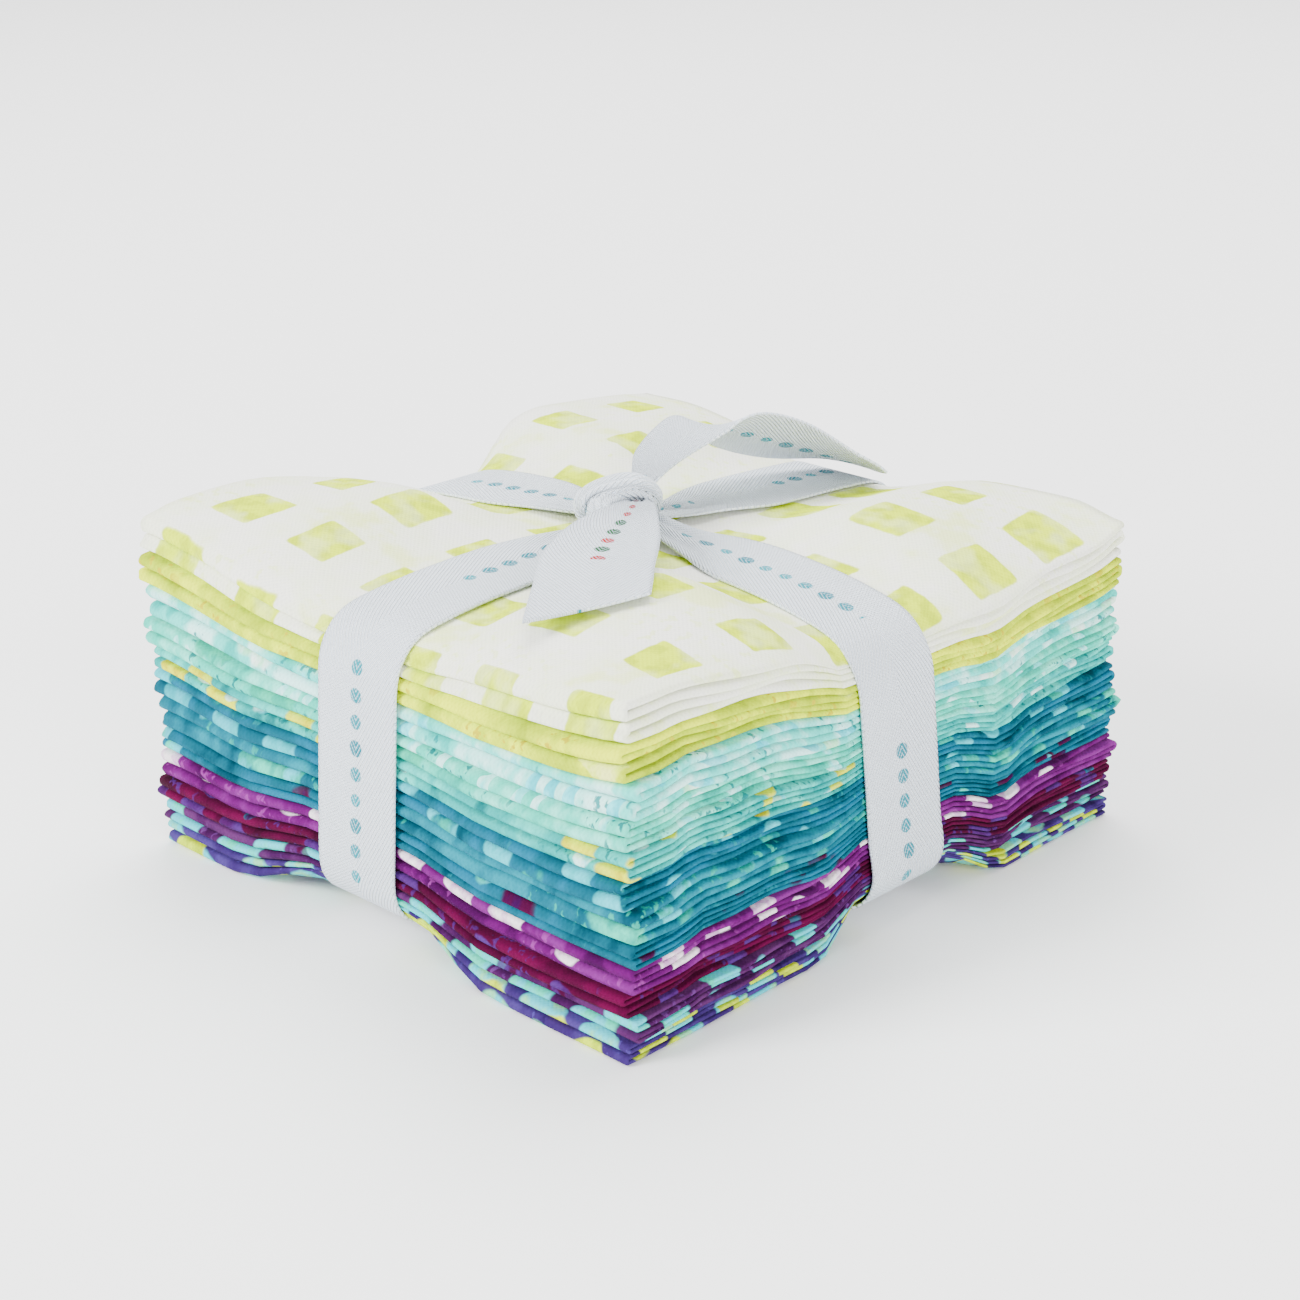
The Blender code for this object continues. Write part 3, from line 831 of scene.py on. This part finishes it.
def put(tree, kind, inputs=(), **settings):
    """A new node with its settings; inputs are (socket name or number, value or output)."""
    node = tree.nodes.new(kind)
    for key, value in settings.items():
        setattr(node, key, value)
    for socket, value in inputs:
        if isinstance(value, bpy.types.NodeSocket):
            tree.links.new(value, node.inputs[socket])
        else:
            node.inputs[socket].default_value = value
    return node


def calc(tree, operation, *values):
    """The output of a Math node with the given values or outputs."""
    return put(tree, "ShaderNodeMath", enumerate(values), operation=operation).outputs[0]


def blend(tree, share, low, high):
    """Mix of two colours: low where share is 0, high where it is 1."""
    sockets = [(0, share), (6, low), (7, high)]
    return put(tree, "ShaderNodeMix", sockets, data_type="RGBA").outputs[2]


def step_up(tree, value, low, high):
    """0 below low, 1 above high, smooth between."""
    sockets = [("Value", value), ("From Min", low), ("From Max", high)]
    node = put(tree, "ShaderNodeMapRange", sockets, interpolation_type="SMOOTHSTEP")
    return node.outputs["Result"]


def moved_by(tree, vector, shift):
    """The sum of two vectors."""
    return put(tree, "ShaderNodeVectorMath", [(0, vector), (1, shift)], operation="ADD").outputs[0]


def mottle(tree, vector, scale, detail, offset=(0.0, 0.0, 0.0)):
    """A noise value about 0.5, moved by an offset so that two of them don't match."""
    sockets = [("Vector", moved_by(tree, vector, offset)), ("Scale", scale), ("Detail", detail)]
    return put(tree, "ShaderNodeTexNoise", sockets).outputs["Fac"]


def new_group(name, inputs, outputs):
    """A shader node group with its sockets, its tree, its input node and its output node."""
    tree = bpy.data.node_groups.new(name, "ShaderNodeTree")
    for socket, kind, value in inputs:
        made = tree.interface.new_socket(socket, in_out="INPUT", socket_type="NodeSocket" + kind)
        if value is not None:
            made.default_value = value
    for socket, kind in outputs:
        tree.interface.new_socket(socket, in_out="OUTPUT", socket_type="NodeSocket" + kind)
    return tree, tree.nodes.new("NodeGroupInput").outputs, tree.nodes.new("NodeGroupOutput").inputs


# %% The mottled ground
def make_ground_group():
    """Light to mid to dark by two noises, and specks where a fine noise peaks."""
    white = (1.0, 1.0, 1.0, 1.0)
    inputs = [("Vector", "Vector", None), ("Light", "Color", white), ("Mid", "Color", white)]
    inputs += [("Dark", "Color", white), ("Speck", "Color", white)]
    inputs += [("Scale", "Float", 80.0), ("Speckle", "Float", 0.2)]
    tree, given, out = new_group("batik_ground", inputs, [("Color", "Color")])
    scale = given["Scale"]
    broad = mottle(tree, given["Vector"], scale, 3.0)
    fine = mottle(tree, given["Vector"], calc(tree, "MULTIPLY", scale, 4.5), 4.0, (3.1, 1.7, 0))
    shares = calc(tree, "MULTIPLY", broad, 0.7), calc(tree, "MULTIPLY", fine, 0.3)
    cloudy = calc(tree, "ADD", *shares)
    first = blend(tree, step_up(tree, cloudy, 0.40, 0.54), given["Light"], given["Mid"])
    second = blend(tree, step_up(tree, cloudy, 0.54, 0.64), first, given["Dark"])
    grains = mottle(tree, given["Vector"], calc(tree, "MULTIPLY", scale, 9.0), 2.0, (7.7, 4.2, 0))
    patches = mottle(tree, given["Vector"], calc(tree, "MULTIPLY", scale, 0.8), 1.0, (1.9, 8.3, 0))
    masks = step_up(tree, grains, 0.56, 0.64), step_up(tree, patches, 0.5, 0.6)
    both = calc(tree, "MULTIPLY", *masks)
    specks = calc(tree, "MULTIPLY", both, given["Speckle"])
    tree.links.new(blend(tree, specks, second, given["Speck"]), out["Color"])
    return tree


GROUND = make_ground_group()
print("group:", GROUND.name, "with", len(GROUND.nodes), "nodes")


# %% The grid of printed shapes
def shaken(tree, vector, scale, reach):
    """vector + reach * (noise - 1/2): a place moved a little, differently from place to place."""
    noise = put(tree, "ShaderNodeTexNoise", [("Vector", vector), ("Scale", scale)])
    sockets = [(0, noise.outputs["Color"]), (1, (0.5, 0.5, 0.5))]
    centred = put(tree, "ShaderNodeVectorMath", sockets, operation="SUBTRACT").outputs[0]
    sockets = [(0, centred), ("Scale", reach)]
    shift = put(tree, "ShaderNodeVectorMath", sockets, operation="SCALE").outputs[0]
    return moved_by(tree, vector, shift)


def make_shapes_group():
    """Mask of one shape in each cell of a staggered grid.

    With (p, q) the place in the cell turned by Tilt, the shape is |p/a|^n + |q/b|^n < 1."""
    inputs = [("Vector", "Vector", None), ("Pitch U", "Float", 0.02), ("Pitch V", "Float", 0.02)]
    inputs += [("Size U", "Float", 0.01), ("Size V", "Float", 0.01), ("Power", "Float", 4.0)]
    inputs += [("Tilt", "Float", 0.0), ("Stagger", "Float", 0.5), ("Wobble", "Float", 0.001)]
    inputs += [("Soft", "Float", 0.2), ("Kept", "Float", 1.0), ("Seed", "Float", 0.0)]
    inputs += [("Drift", "Float", 0.0)]
    tree, given, out = new_group("printed_shapes", inputs, [("Mask", "Float"), ("Random", "Float")])
    moved = shaken(tree, given["Vector"], 260.0, given["Wobble"])
    moved = shaken(tree, moved, 14.0, given["Drift"])
    place = put(tree, "ShaderNodeSeparateXYZ", [(0, moved)]).outputs
    row_place = calc(tree, "DIVIDE", place["Y"], given["Pitch V"])
    row = calc(tree, "FLOOR", row_place)
    shift = calc(tree, "MULTIPLY", calc(tree, "FLOORED_MODULO", row, 2.0), given["Stagger"])
    column_place = calc(tree, "ADD", calc(tree, "DIVIDE", place["X"], given["Pitch U"]), shift)
    column = calc(tree, "FLOOR", column_place)
    cell = put(tree, "ShaderNodeCombineXYZ", [(0, column), (1, row), (2, given["Seed"])])
    dice = put(tree, "ShaderNodeTexWhiteNoise", [("Vector", cell.outputs[0])])
    p = calc(tree, "SUBTRACT", calc(tree, "SUBTRACT", column_place, column), 0.5)
    q = calc(tree, "SUBTRACT", calc(tree, "SUBTRACT", row_place, row), 0.5)
    p, q = calc(tree, "MULTIPLY", p, given["Pitch U"]), calc(tree, "MULTIPLY", q, given["Pitch V"])
    spot = put(tree, "ShaderNodeCombineXYZ", [(0, p), (1, q)])
    turned = put(
        tree,
        "ShaderNodeVectorRotate",
        [("Vector", spot.outputs[0]), ("Angle", given["Tilt"])],
        rotation_type="Z_AXIS",
    )
    turned = put(tree, "ShaderNodeSeparateXYZ", [(0, turned.outputs[0])]).outputs
    swell = calc(tree, "ADD", calc(tree, "MULTIPLY", dice.outputs["Value"], 0.3), 0.85)
    terms = []
    for axis, size in (("X", "Size U"), ("Y", "Size V")):
        half = calc(tree, "MULTIPLY", calc(tree, "MULTIPLY", given[size], 0.5), swell)
        share = calc(tree, "ABSOLUTE", calc(tree, "DIVIDE", turned[axis], half))
        terms.append(calc(tree, "POWER", share, given["Power"]))
    away = calc(tree, "ADD", *terms)
    outer = calc(tree, "ADD", 1.0, given["Soft"])
    inner = calc(tree, "SUBTRACT", 1.0, given["Soft"])
    inside = calc(tree, "SUBTRACT", 1.0, step_up(tree, away, inner, outer))
    shown = calc(tree, "LESS_THAN", dice.outputs["Value"], given["Kept"])
    tree.links.new(calc(tree, "MULTIPLY", inside, shown), out["Mask"])
    tree.links.new(dice.outputs["Value"], out["Random"])
    return tree


SHAPES = make_shapes_group()
print("group:", SHAPES.name, "with", len(SHAPES.nodes), "nodes")


# %% The plain weave of the cotton
def make_weave_group():
    """Height = sin(pi u / pitch) sin(pi v / pitch), roughened by a fine noise; painted shade
    follows it.
    """
    inputs = [("Vector", "Vector", None), ("Pitch", "Float", 0.00045)]
    tree, given, out = new_group("cotton_weave", inputs, [("Height", "Float"), ("Painted Shade", "Float")])
    place = put(tree, "ShaderNodeSeparateXYZ", [(0, given["Vector"])]).outputs
    waves = []
    for axis in "XY":
        turns = calc(tree, "MULTIPLY", calc(tree, "DIVIDE", place[axis], given["Pitch"]), math.pi)
        waves.append(calc(tree, "SINE", turns))
    over = calc(tree, "MULTIPLY", *waves)
    slubs = mottle(tree, given["Vector"], 1500.0, 2.0)
    shares = calc(tree, "MULTIPLY", over, 0.5), calc(tree, "MULTIPLY", slubs, 1.2)
    height = calc(tree, "ADD", *shares)
    tree.links.new(height, out["Height"])
    tree.links.new(step_up(tree, height, -0.2, 1.2), out["Painted Shade"])
    return tree


WEAVE = make_weave_group()
print("group:", WEAVE.name, "with", len(WEAVE.nodes), "nodes")


# %% The twill of the ribbon
def make_twill_group():
    """Ribs that turn back at the middle: height = cos(2 pi (v + slope |u - middle|) / pitch).

    A second, shorter wave along each rib breaks it into stitches. The second output is painted
    shade: 1 on the ribs, falling to 0 in the grooves between them."""
    inputs = [("Vector", "Vector", None), ("Pitch", "Float", 0.00125), ("Slope", "Float", 1.7)]
    tree, given, out = new_group("twill_ribs", inputs, [("Height", "Float"), ("Painted Shade", "Float")])
    place = put(tree, "ShaderNodeSeparateXYZ", [(0, given["Vector"])]).outputs
    off = calc(tree, "ABSOLUTE", calc(tree, "SUBTRACT", place["X"], RIBBON_WIDTH / 2))
    along = calc(tree, "ADD", place["Y"], calc(tree, "MULTIPLY", off, given["Slope"]))
    turns = calc(tree, "MULTIPLY", calc(tree, "DIVIDE", along, given["Pitch"]), 2 * math.pi)
    ribs = calc(tree, "COSINE", turns)
    back = calc(tree, "SUBTRACT", place["Y"], calc(tree, "MULTIPLY", off, 0.6))
    stitches = calc(tree, "COSINE", calc(tree, "MULTIPLY", back, 2 * math.pi / 0.0006))
    height = calc(tree, "ADD", ribs, calc(tree, "MULTIPLY", stitches, 0.35))
    tree.links.new(height, out["Height"])
    tree.links.new(step_up(tree, height, -1.3, 0.3), out["Painted Shade"])
    return tree


TWILL = make_twill_group()
print("group:", TWILL.name, "with", len(TWILL.nodes), "nodes")

# %% [markdown]
# ## Twelve cloths
# The cloths run from ivory and lime through mint, aqua and teal to magenta, plum and indigo. Each
# is a ground of four colours plus a few layers of shapes, so a table says it all. The shapes are
# common ones: squares, ovals, leaves and short dashes, in a layout made up for this lesson.

# %% Tables of grounds and printed layers
Ground = namedtuple("Ground", "light mid dark speck scale speckle")
PRINT_FIELDS = "pitch size colour tint power tilt stagger wobble soft kept fade at"
PRINT_DEFAULTS = (2.4, 0, 0.5, 1.2, 0.22, 1.0, 0.3, (0, 0))  # from power on
Print = namedtuple("Print", PRINT_FIELDS, defaults=PRINT_DEFAULTS)


def dyed_ground(light, mid, dark, speck, scale, speckle):
    """Four colours as seen on screen, the fineness of the clouds and the share of specks."""
    return Ground(dye(*light), dye(*mid), dye(*dark), dye(*speck), scale, speckle)


def shapes(pitch, size, colour, tint, *rest, **named):
    """One printed layer, with lengths in mm and the tilt in degrees."""
    return Print(pitch, size, dye(*colour), dye(*tint), *rest, **named)


def cloth(ground, *layers):
    """A ground with its printed layers, the lowest first."""
    return ground, layers


IVORY = dyed_ground((227, 227, 225), (226, 227, 222), (224, 226, 212), (221, 225, 190), 60, 0.4)
LIME = dyed_ground((222, 225, 80), (211, 217, 0), (199, 208, 0), (212, 208, 0), 90, 1.0)
MIST = dyed_ground((216, 227, 226), (160, 219, 216), (96, 206, 202), (40, 178, 180), 85, 0.9)
MINT = dyed_ground((186, 223, 219), (128, 214, 206), (84, 199, 190), (36, 164, 168), 85, 0.9)
AQUA = dyed_ground((150, 217, 213), (84, 200, 198), (16, 166, 168), (0, 138, 146), 90, 0.7)
PETROL = dyed_ground((0, 165, 182), (0, 144, 162), (0, 104, 124), (40, 182, 184), 80, 0.6)
TEAL = dyed_ground((10, 182, 192), (0, 158, 173), (0, 122, 141), (50, 202, 192), 75, 0.8)
LAGOON = dyed_ground((0, 165, 182), (0, 143, 161), (0, 106, 127), (10, 174, 180), 75, 0.6)
ORCHID = dyed_ground((172, 92, 174), (146, 58, 148), (108, 28, 112), (190, 124, 190), 80, 0.7)
BERRY = dyed_ground((140, 14, 96), (114, 6, 76), (84, 2, 58), (124, 78, 162), 80, 0.8)
PLUM = dyed_ground((140, 86, 148), (112, 56, 122), (76, 30, 90), (160, 112, 176), 85, 0.8)
INDIGO = dyed_ground((128, 108, 174), (100, 74, 150), (64, 42, 108), (142, 126, 190), 85, 0.7)

LEMON, GOLD = (220, 221, 40), (213, 211, 0)
SQUARE, SQUARE_DEEP = (219, 223, 50), (212, 218, 10)
CREAM, BLUSH = (226, 224, 225), (216, 200, 216)
FOAM, PALE_AQUA, SEA = (225, 228, 227), (152, 214, 218), (44, 158, 174)
LEAF, LEAF_DEEP = (136, 216, 206), (84, 198, 188)
SPRING, MOSS = (218, 222, 100), (205, 213, 70)
WINE, VIOLET, GRAPE = (112, 22, 84), (132, 90, 170), (92, 34, 106)
CLOTHS = [
    cloth(
        IVORY,
        shapes((19.3, 19.0), (9.9, 9.9), SQUARE, SQUARE_DEEP, 14, 0, 0, 0.8, 0.6, fade=0.3),
    ),
    cloth(
        LIME,
        shapes((24, 15), (11, 5), (228, 229, 206), (219, 224, 150), 3, 20, wobble=3.4, kept=0.4),
        shapes((9, 7), (3.6, 2.2), (214, 215, 0), (210, 207, 0), 2, 30, wobble=2.6, kept=0.35),
    ),
    cloth(
        MIST,
        shapes((26, 17), (11, 5), FOAM, (206, 224, 214), 2.4, 12, wobble=3.4, soft=0.4, kept=0.45),
        shapes((4.2, 13), (2.6, 8.0), (140, 212, 216), (180, 222, 224), 2.4, 24, kept=0.3),
    ),
    cloth(
        MINT,
        shapes((3.4, 9), (1.8, 5.6), (214, 226, 225), (176, 220, 220), 3, 30, wobble=3, kept=0.32),
        shapes((31, 23), (11, 7), (90, 200, 186), (120, 210, 196), 2, 30, wobble=4, kept=0.6),
    ),
    cloth(
        AQUA,
        shapes((13, 10), (7.4, 5.6), LEMON, GOLD, 2.4, 10, wobble=1.6, kept=0.42, fade=0.15),
        shapes((7, 9), (4.2, 4.0), (218, 227, 226), PALE_AQUA, 2.4, 0, 0.3, kept=0.5, at=(4, 3)),
    ),
    cloth(
        PETROL,
        shapes((13, 10), (7.6, 4.8), PALE_AQUA, (124, 206, 210), 2.4, 24, kept=0.55),
        shapes((22, 15), (9, 3.6), SEA, LEAF_DEEP, 1.7, -35, 0.4, kept=0.6, at=(6, 4)),
    ),
    cloth(
        TEAL,
        shapes((27, 17), (19, 6.4), LEAF, LEAF_DEEP, 1.6, 26, wobble=2.0, kept=0.75),
        shapes((12, 9), (5.4, 4.0), LEAF_DEEP, PALE_AQUA, 2.2, -20, 0.4, kept=0.35, at=(7, 5)),
    ),
    cloth(
        LAGOON,
        shapes((13, 9), (8, 5), WINE, GRAPE, 2.0, 30, wobble=3.4, soft=0.3, kept=0.5),
        shapes((17, 12), (6, 3.2), LEAF, PALE_AQUA, 2.0, -30, 0.3, kept=0.4, at=(5, 2)),
    ),
    cloth(
        ORCHID,
        shapes((11, 9.5), (7.4, 5.8), CREAM, BLUSH, 3.6, 8, wobble=1.0, kept=0.42, fade=0.1),
    ),
    cloth(
        BERRY,
        shapes((10, 8), (6.4, 4.8), VIOLET, (112, 62, 140), 3.4, 6, wobble=1.8, kept=0.5),
        shapes((8, 13), (3.2, 3.0), SEA, GRAPE, 3.0, 0, 0.3, kept=0.35, at=(3, 6)),
    ),
    cloth(
        PLUM,
        shapes((14, 10), (9.8, 6.0), PALE_AQUA, LEAF, 2.6, -24, wobble=1.6, kept=0.65, fade=0.05),
        shapes((10, 12), (5.4, 4.4), WINE, VIOLET, 2.4, 10, 0.3, kept=0.6, at=(4, 5)),
    ),
    cloth(
        INDIGO,
        shapes((12, 9), (9.4, 6.6), PALE_AQUA, (186, 218, 200), 2.8, 12, kept=0.85, fade=0.05),
        shapes((14, 8), (9.0, 5.2), SPRING, MOSS, 2.8, -16, kept=0.65, fade=0.05, at=(7, 0)),
    ),
]
print("cloths:", len(CLOTHS), "with", sum(len(layers) for _, layers in CLOTHS), "printed layers")


# %% One material for each cloth
PRINT_DRIFT = 14 * MM  # hand printing: how far the rows of shapes wander
CLOUD_STEP = (0.613, 0.377)  # m, from one cloth's clouds to the next one's
WEAVE_DEPTH, TWILL_DEPTH = 0.00008, 0.00016  # m


def set_inputs(node, values):
    """Gives the named sockets of a node their fixed values."""
    for socket, value in values.items():
        node.inputs[socket].default_value = value


def new_material(name, roughness, sheen):
    """A material with its tree, shader and UV output; numbers that never change sit on it."""
    made = bpy.data.materials.new(name)
    made.use_nodes = True
    tree = made.node_tree
    shader = tree.nodes["Principled BSDF"]
    set_inputs(shader, {"Roughness": roughness, "Sheen Weight": sheen, "Sheen Roughness": 0.5})
    shader.inputs["Specular IOR Level"].default_value = 0.06
    return made, tree, shader, put(tree, "ShaderNodeUVMap", uv_map="cloth").outputs[0]


def bump(tree, shader, height, strength, distance):
    """A Bump node between a height and the shader's normal."""
    sockets = [("Height", height), ("Strength", strength), ("Distance", distance)]
    node = put(tree, "ShaderNodeBump", sockets)
    tree.links.new(node.outputs[0], shader.inputs["Normal"])


def printed_layer(tree, vector, layer, seed, under):
    """Lays one grid of shapes over a colour; each shape mixes its colour with its tint."""
    at = (*[value * MM for value in layer.at], 0)
    moved = moved_by(tree, vector, at)
    group = put(tree, "ShaderNodeGroup", node_tree=SHAPES)
    tree.links.new(moved, group.inputs["Vector"])
    values = {"Pitch U": layer.pitch[0] * MM, "Pitch V": layer.pitch[1] * MM}
    values |= {"Size U": layer.size[0] * MM, "Size V": layer.size[1] * MM, "Power": layer.power}
    values |= {"Tilt": math.radians(layer.tilt), "Stagger": layer.stagger, "Soft": layer.soft}
    values |= {"Wobble": layer.wobble * MM, "Kept": layer.kept, "Seed": float(seed)}
    values |= {"Drift": PRINT_DRIFT}
    set_inputs(group, values)
    clouds = step_up(tree, mottle(tree, vector, 330.0, 3.0, (seed, 2.0, 0)), 0.42, 0.62)
    paint = blend(tree, clouds, layer.colour, layer.tint)
    thin = step_up(tree, mottle(tree, vector, 150.0, 2.0, (2.0, seed, 0)), 0.44, 0.66)
    kept = calc(tree, "SUBTRACT", 1.0, calc(tree, "MULTIPLY", thin, layer.fade))
    return blend(tree, calc(tree, "MULTIPLY", group.outputs["Mask"], kept), under, paint)


def cotton(number, ground, layers):
    """Ground, then each printed layer, then painted shade where the weave is low; the weave is the
    bump.
    """
    made, tree, shader, uv = new_material(f"batik_cotton_{number:02d}", 0.9, 0.01)
    moved = moved_by(tree, uv, (number * CLOUD_STEP[0], number * CLOUD_STEP[1], 0))
    base = put(tree, "ShaderNodeGroup", node_tree=GROUND)
    tree.links.new(moved, base.inputs["Vector"])
    values = {"Light": ground.light, "Mid": ground.mid, "Dark": ground.dark, "Speck": ground.speck}
    set_inputs(base, values | {"Scale": float(ground.scale), "Speckle": ground.speckle})
    colour = base.outputs["Color"]
    for k, layer in enumerate(layers):
        colour = printed_layer(tree, uv, layer, number * 7 + k, colour)
    weave = put(tree, "ShaderNodeGroup", node_tree=WEAVE)
    tree.links.new(uv, weave.inputs["Vector"])
    # Painted shade: dark is the colour in painted shade, shown where the weave is low.
    painted_shade = step_up(tree, weave.outputs["Painted Shade"], -0.6, 1.0)
    dark = blend(tree, 0.82, (0, 0, 0, 1), colour)
    tree.links.new(blend(tree, painted_shade, dark, colour), shader.inputs["Base Color"])
    bump(tree, shader, weave.outputs["Height"], 0.5, WEAVE_DEPTH)
    return made


# %% The ribbon's material and its row of dots
RIBBON_WHITE = dye(229, 230, 231)
# The second colour is painted shade: the bluish grey of the shadow between the twill's ribs.
RIBBON_PAINTED_SHADE = dye(222, 225, 228)
DOT_SIZE = 2.6 * MM
DOT_PITCH = 4.6 * MM
STRETCH = 64 * MM  # from the start of one row of dots to the next
ROW_LENGTH = 42 * MM
COLOURED_FROM, COLOURED_TO = 0.38, 0.455  # distance along the tape, m: the front end


def dotted_rows(tree, uv):
    """Mask and random number of a row of dots along the middle, in stretches with gaps."""
    group = put(tree, "ShaderNodeGroup", node_tree=SHAPES)
    tree.links.new(uv, group.inputs["Vector"])
    values = {"Pitch U": RIBBON_WIDTH, "Pitch V": DOT_PITCH, "Size U": DOT_SIZE, "Size V": DOT_SIZE}
    set_inputs(group, values | {"Power": 2.0, "Stagger": 0.0, "Wobble": 0.0002, "Soft": 0.15})
    along = put(tree, "ShaderNodeSeparateXYZ", [(0, uv)]).outputs["Y"]
    place = calc(tree, "FLOORED_MODULO", along, STRETCH)
    in_row = calc(tree, "LESS_THAN", place, ROW_LENGTH)
    return calc(tree, "MULTIPLY", group.outputs["Mask"], in_row), group.outputs["Random"], along


def dot_colours(tree, random, along):
    """Two aquas on the bands; five plain colours on the front end."""
    aqua = blend(tree, random, dye(50, 200, 206), dye(0, 178, 188))
    ramp = put(tree, "ShaderNodeValToRGB", [(0, random)])
    ramp.color_ramp.interpolation = "CONSTANT"
    steps = [(160, 0, 40), (212, 90, 0), (216, 206, 0), (0, 150, 70), (0, 184, 194)]
    while len(ramp.color_ramp.elements) < len(steps):
        ramp.color_ramp.elements.new(1.0)
    for k, step in enumerate(steps):
        ramp.color_ramp.elements[k].position = k / len(steps)
        ramp.color_ramp.elements[k].color = dye(*step)
    after = calc(tree, "GREATER_THAN", along, COLOURED_FROM)
    before = calc(tree, "LESS_THAN", along, COLOURED_TO)
    return blend(tree, calc(tree, "MULTIPLY", after, before), aqua, ramp.outputs[0])


def twill_ribbon():
    """White twill: painted shade between the ribs, and a plain row of small dots along the middle.
    """
    made, tree, shader, uv = new_material("white_twill", 0.6, 0.05)
    ribs = put(tree, "ShaderNodeGroup", node_tree=TWILL)
    tree.links.new(uv, ribs.inputs["Vector"])
    mask, random, along = dotted_rows(tree, uv)
    printed = blend(tree, mask, RIBBON_WHITE, dot_colours(tree, random, along))
    # Painted shade: the print darkened toward that grey; it shows in the grooves between the ribs.
    painted_shade = blend(tree, 0.7, printed, RIBBON_PAINTED_SHADE)
    tree.links.new(blend(tree, ribs.outputs["Painted Shade"], painted_shade, printed), shader.inputs["Base Color"])
    bump(tree, shader, ribs.outputs["Height"], 1.0, TWILL_DEPTH)
    return made


# %% Dress the pieces, attach them to the root and hide the solids they stand for
for number, (piece, (ground, layers)) in enumerate(zip(fat_quarters, CLOTHS), start=1):
    piece.data.materials.append(cotton(number, ground, layers))
    node = f"fat_quarter_{number:02d}"
    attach(piece, "root")
    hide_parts(node)

tape.data.materials.append(twill_ribbon())
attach(tape, "root")
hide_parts("ribbon")
print("dressed:", [piece.name for piece in fat_quarters + [tape]])
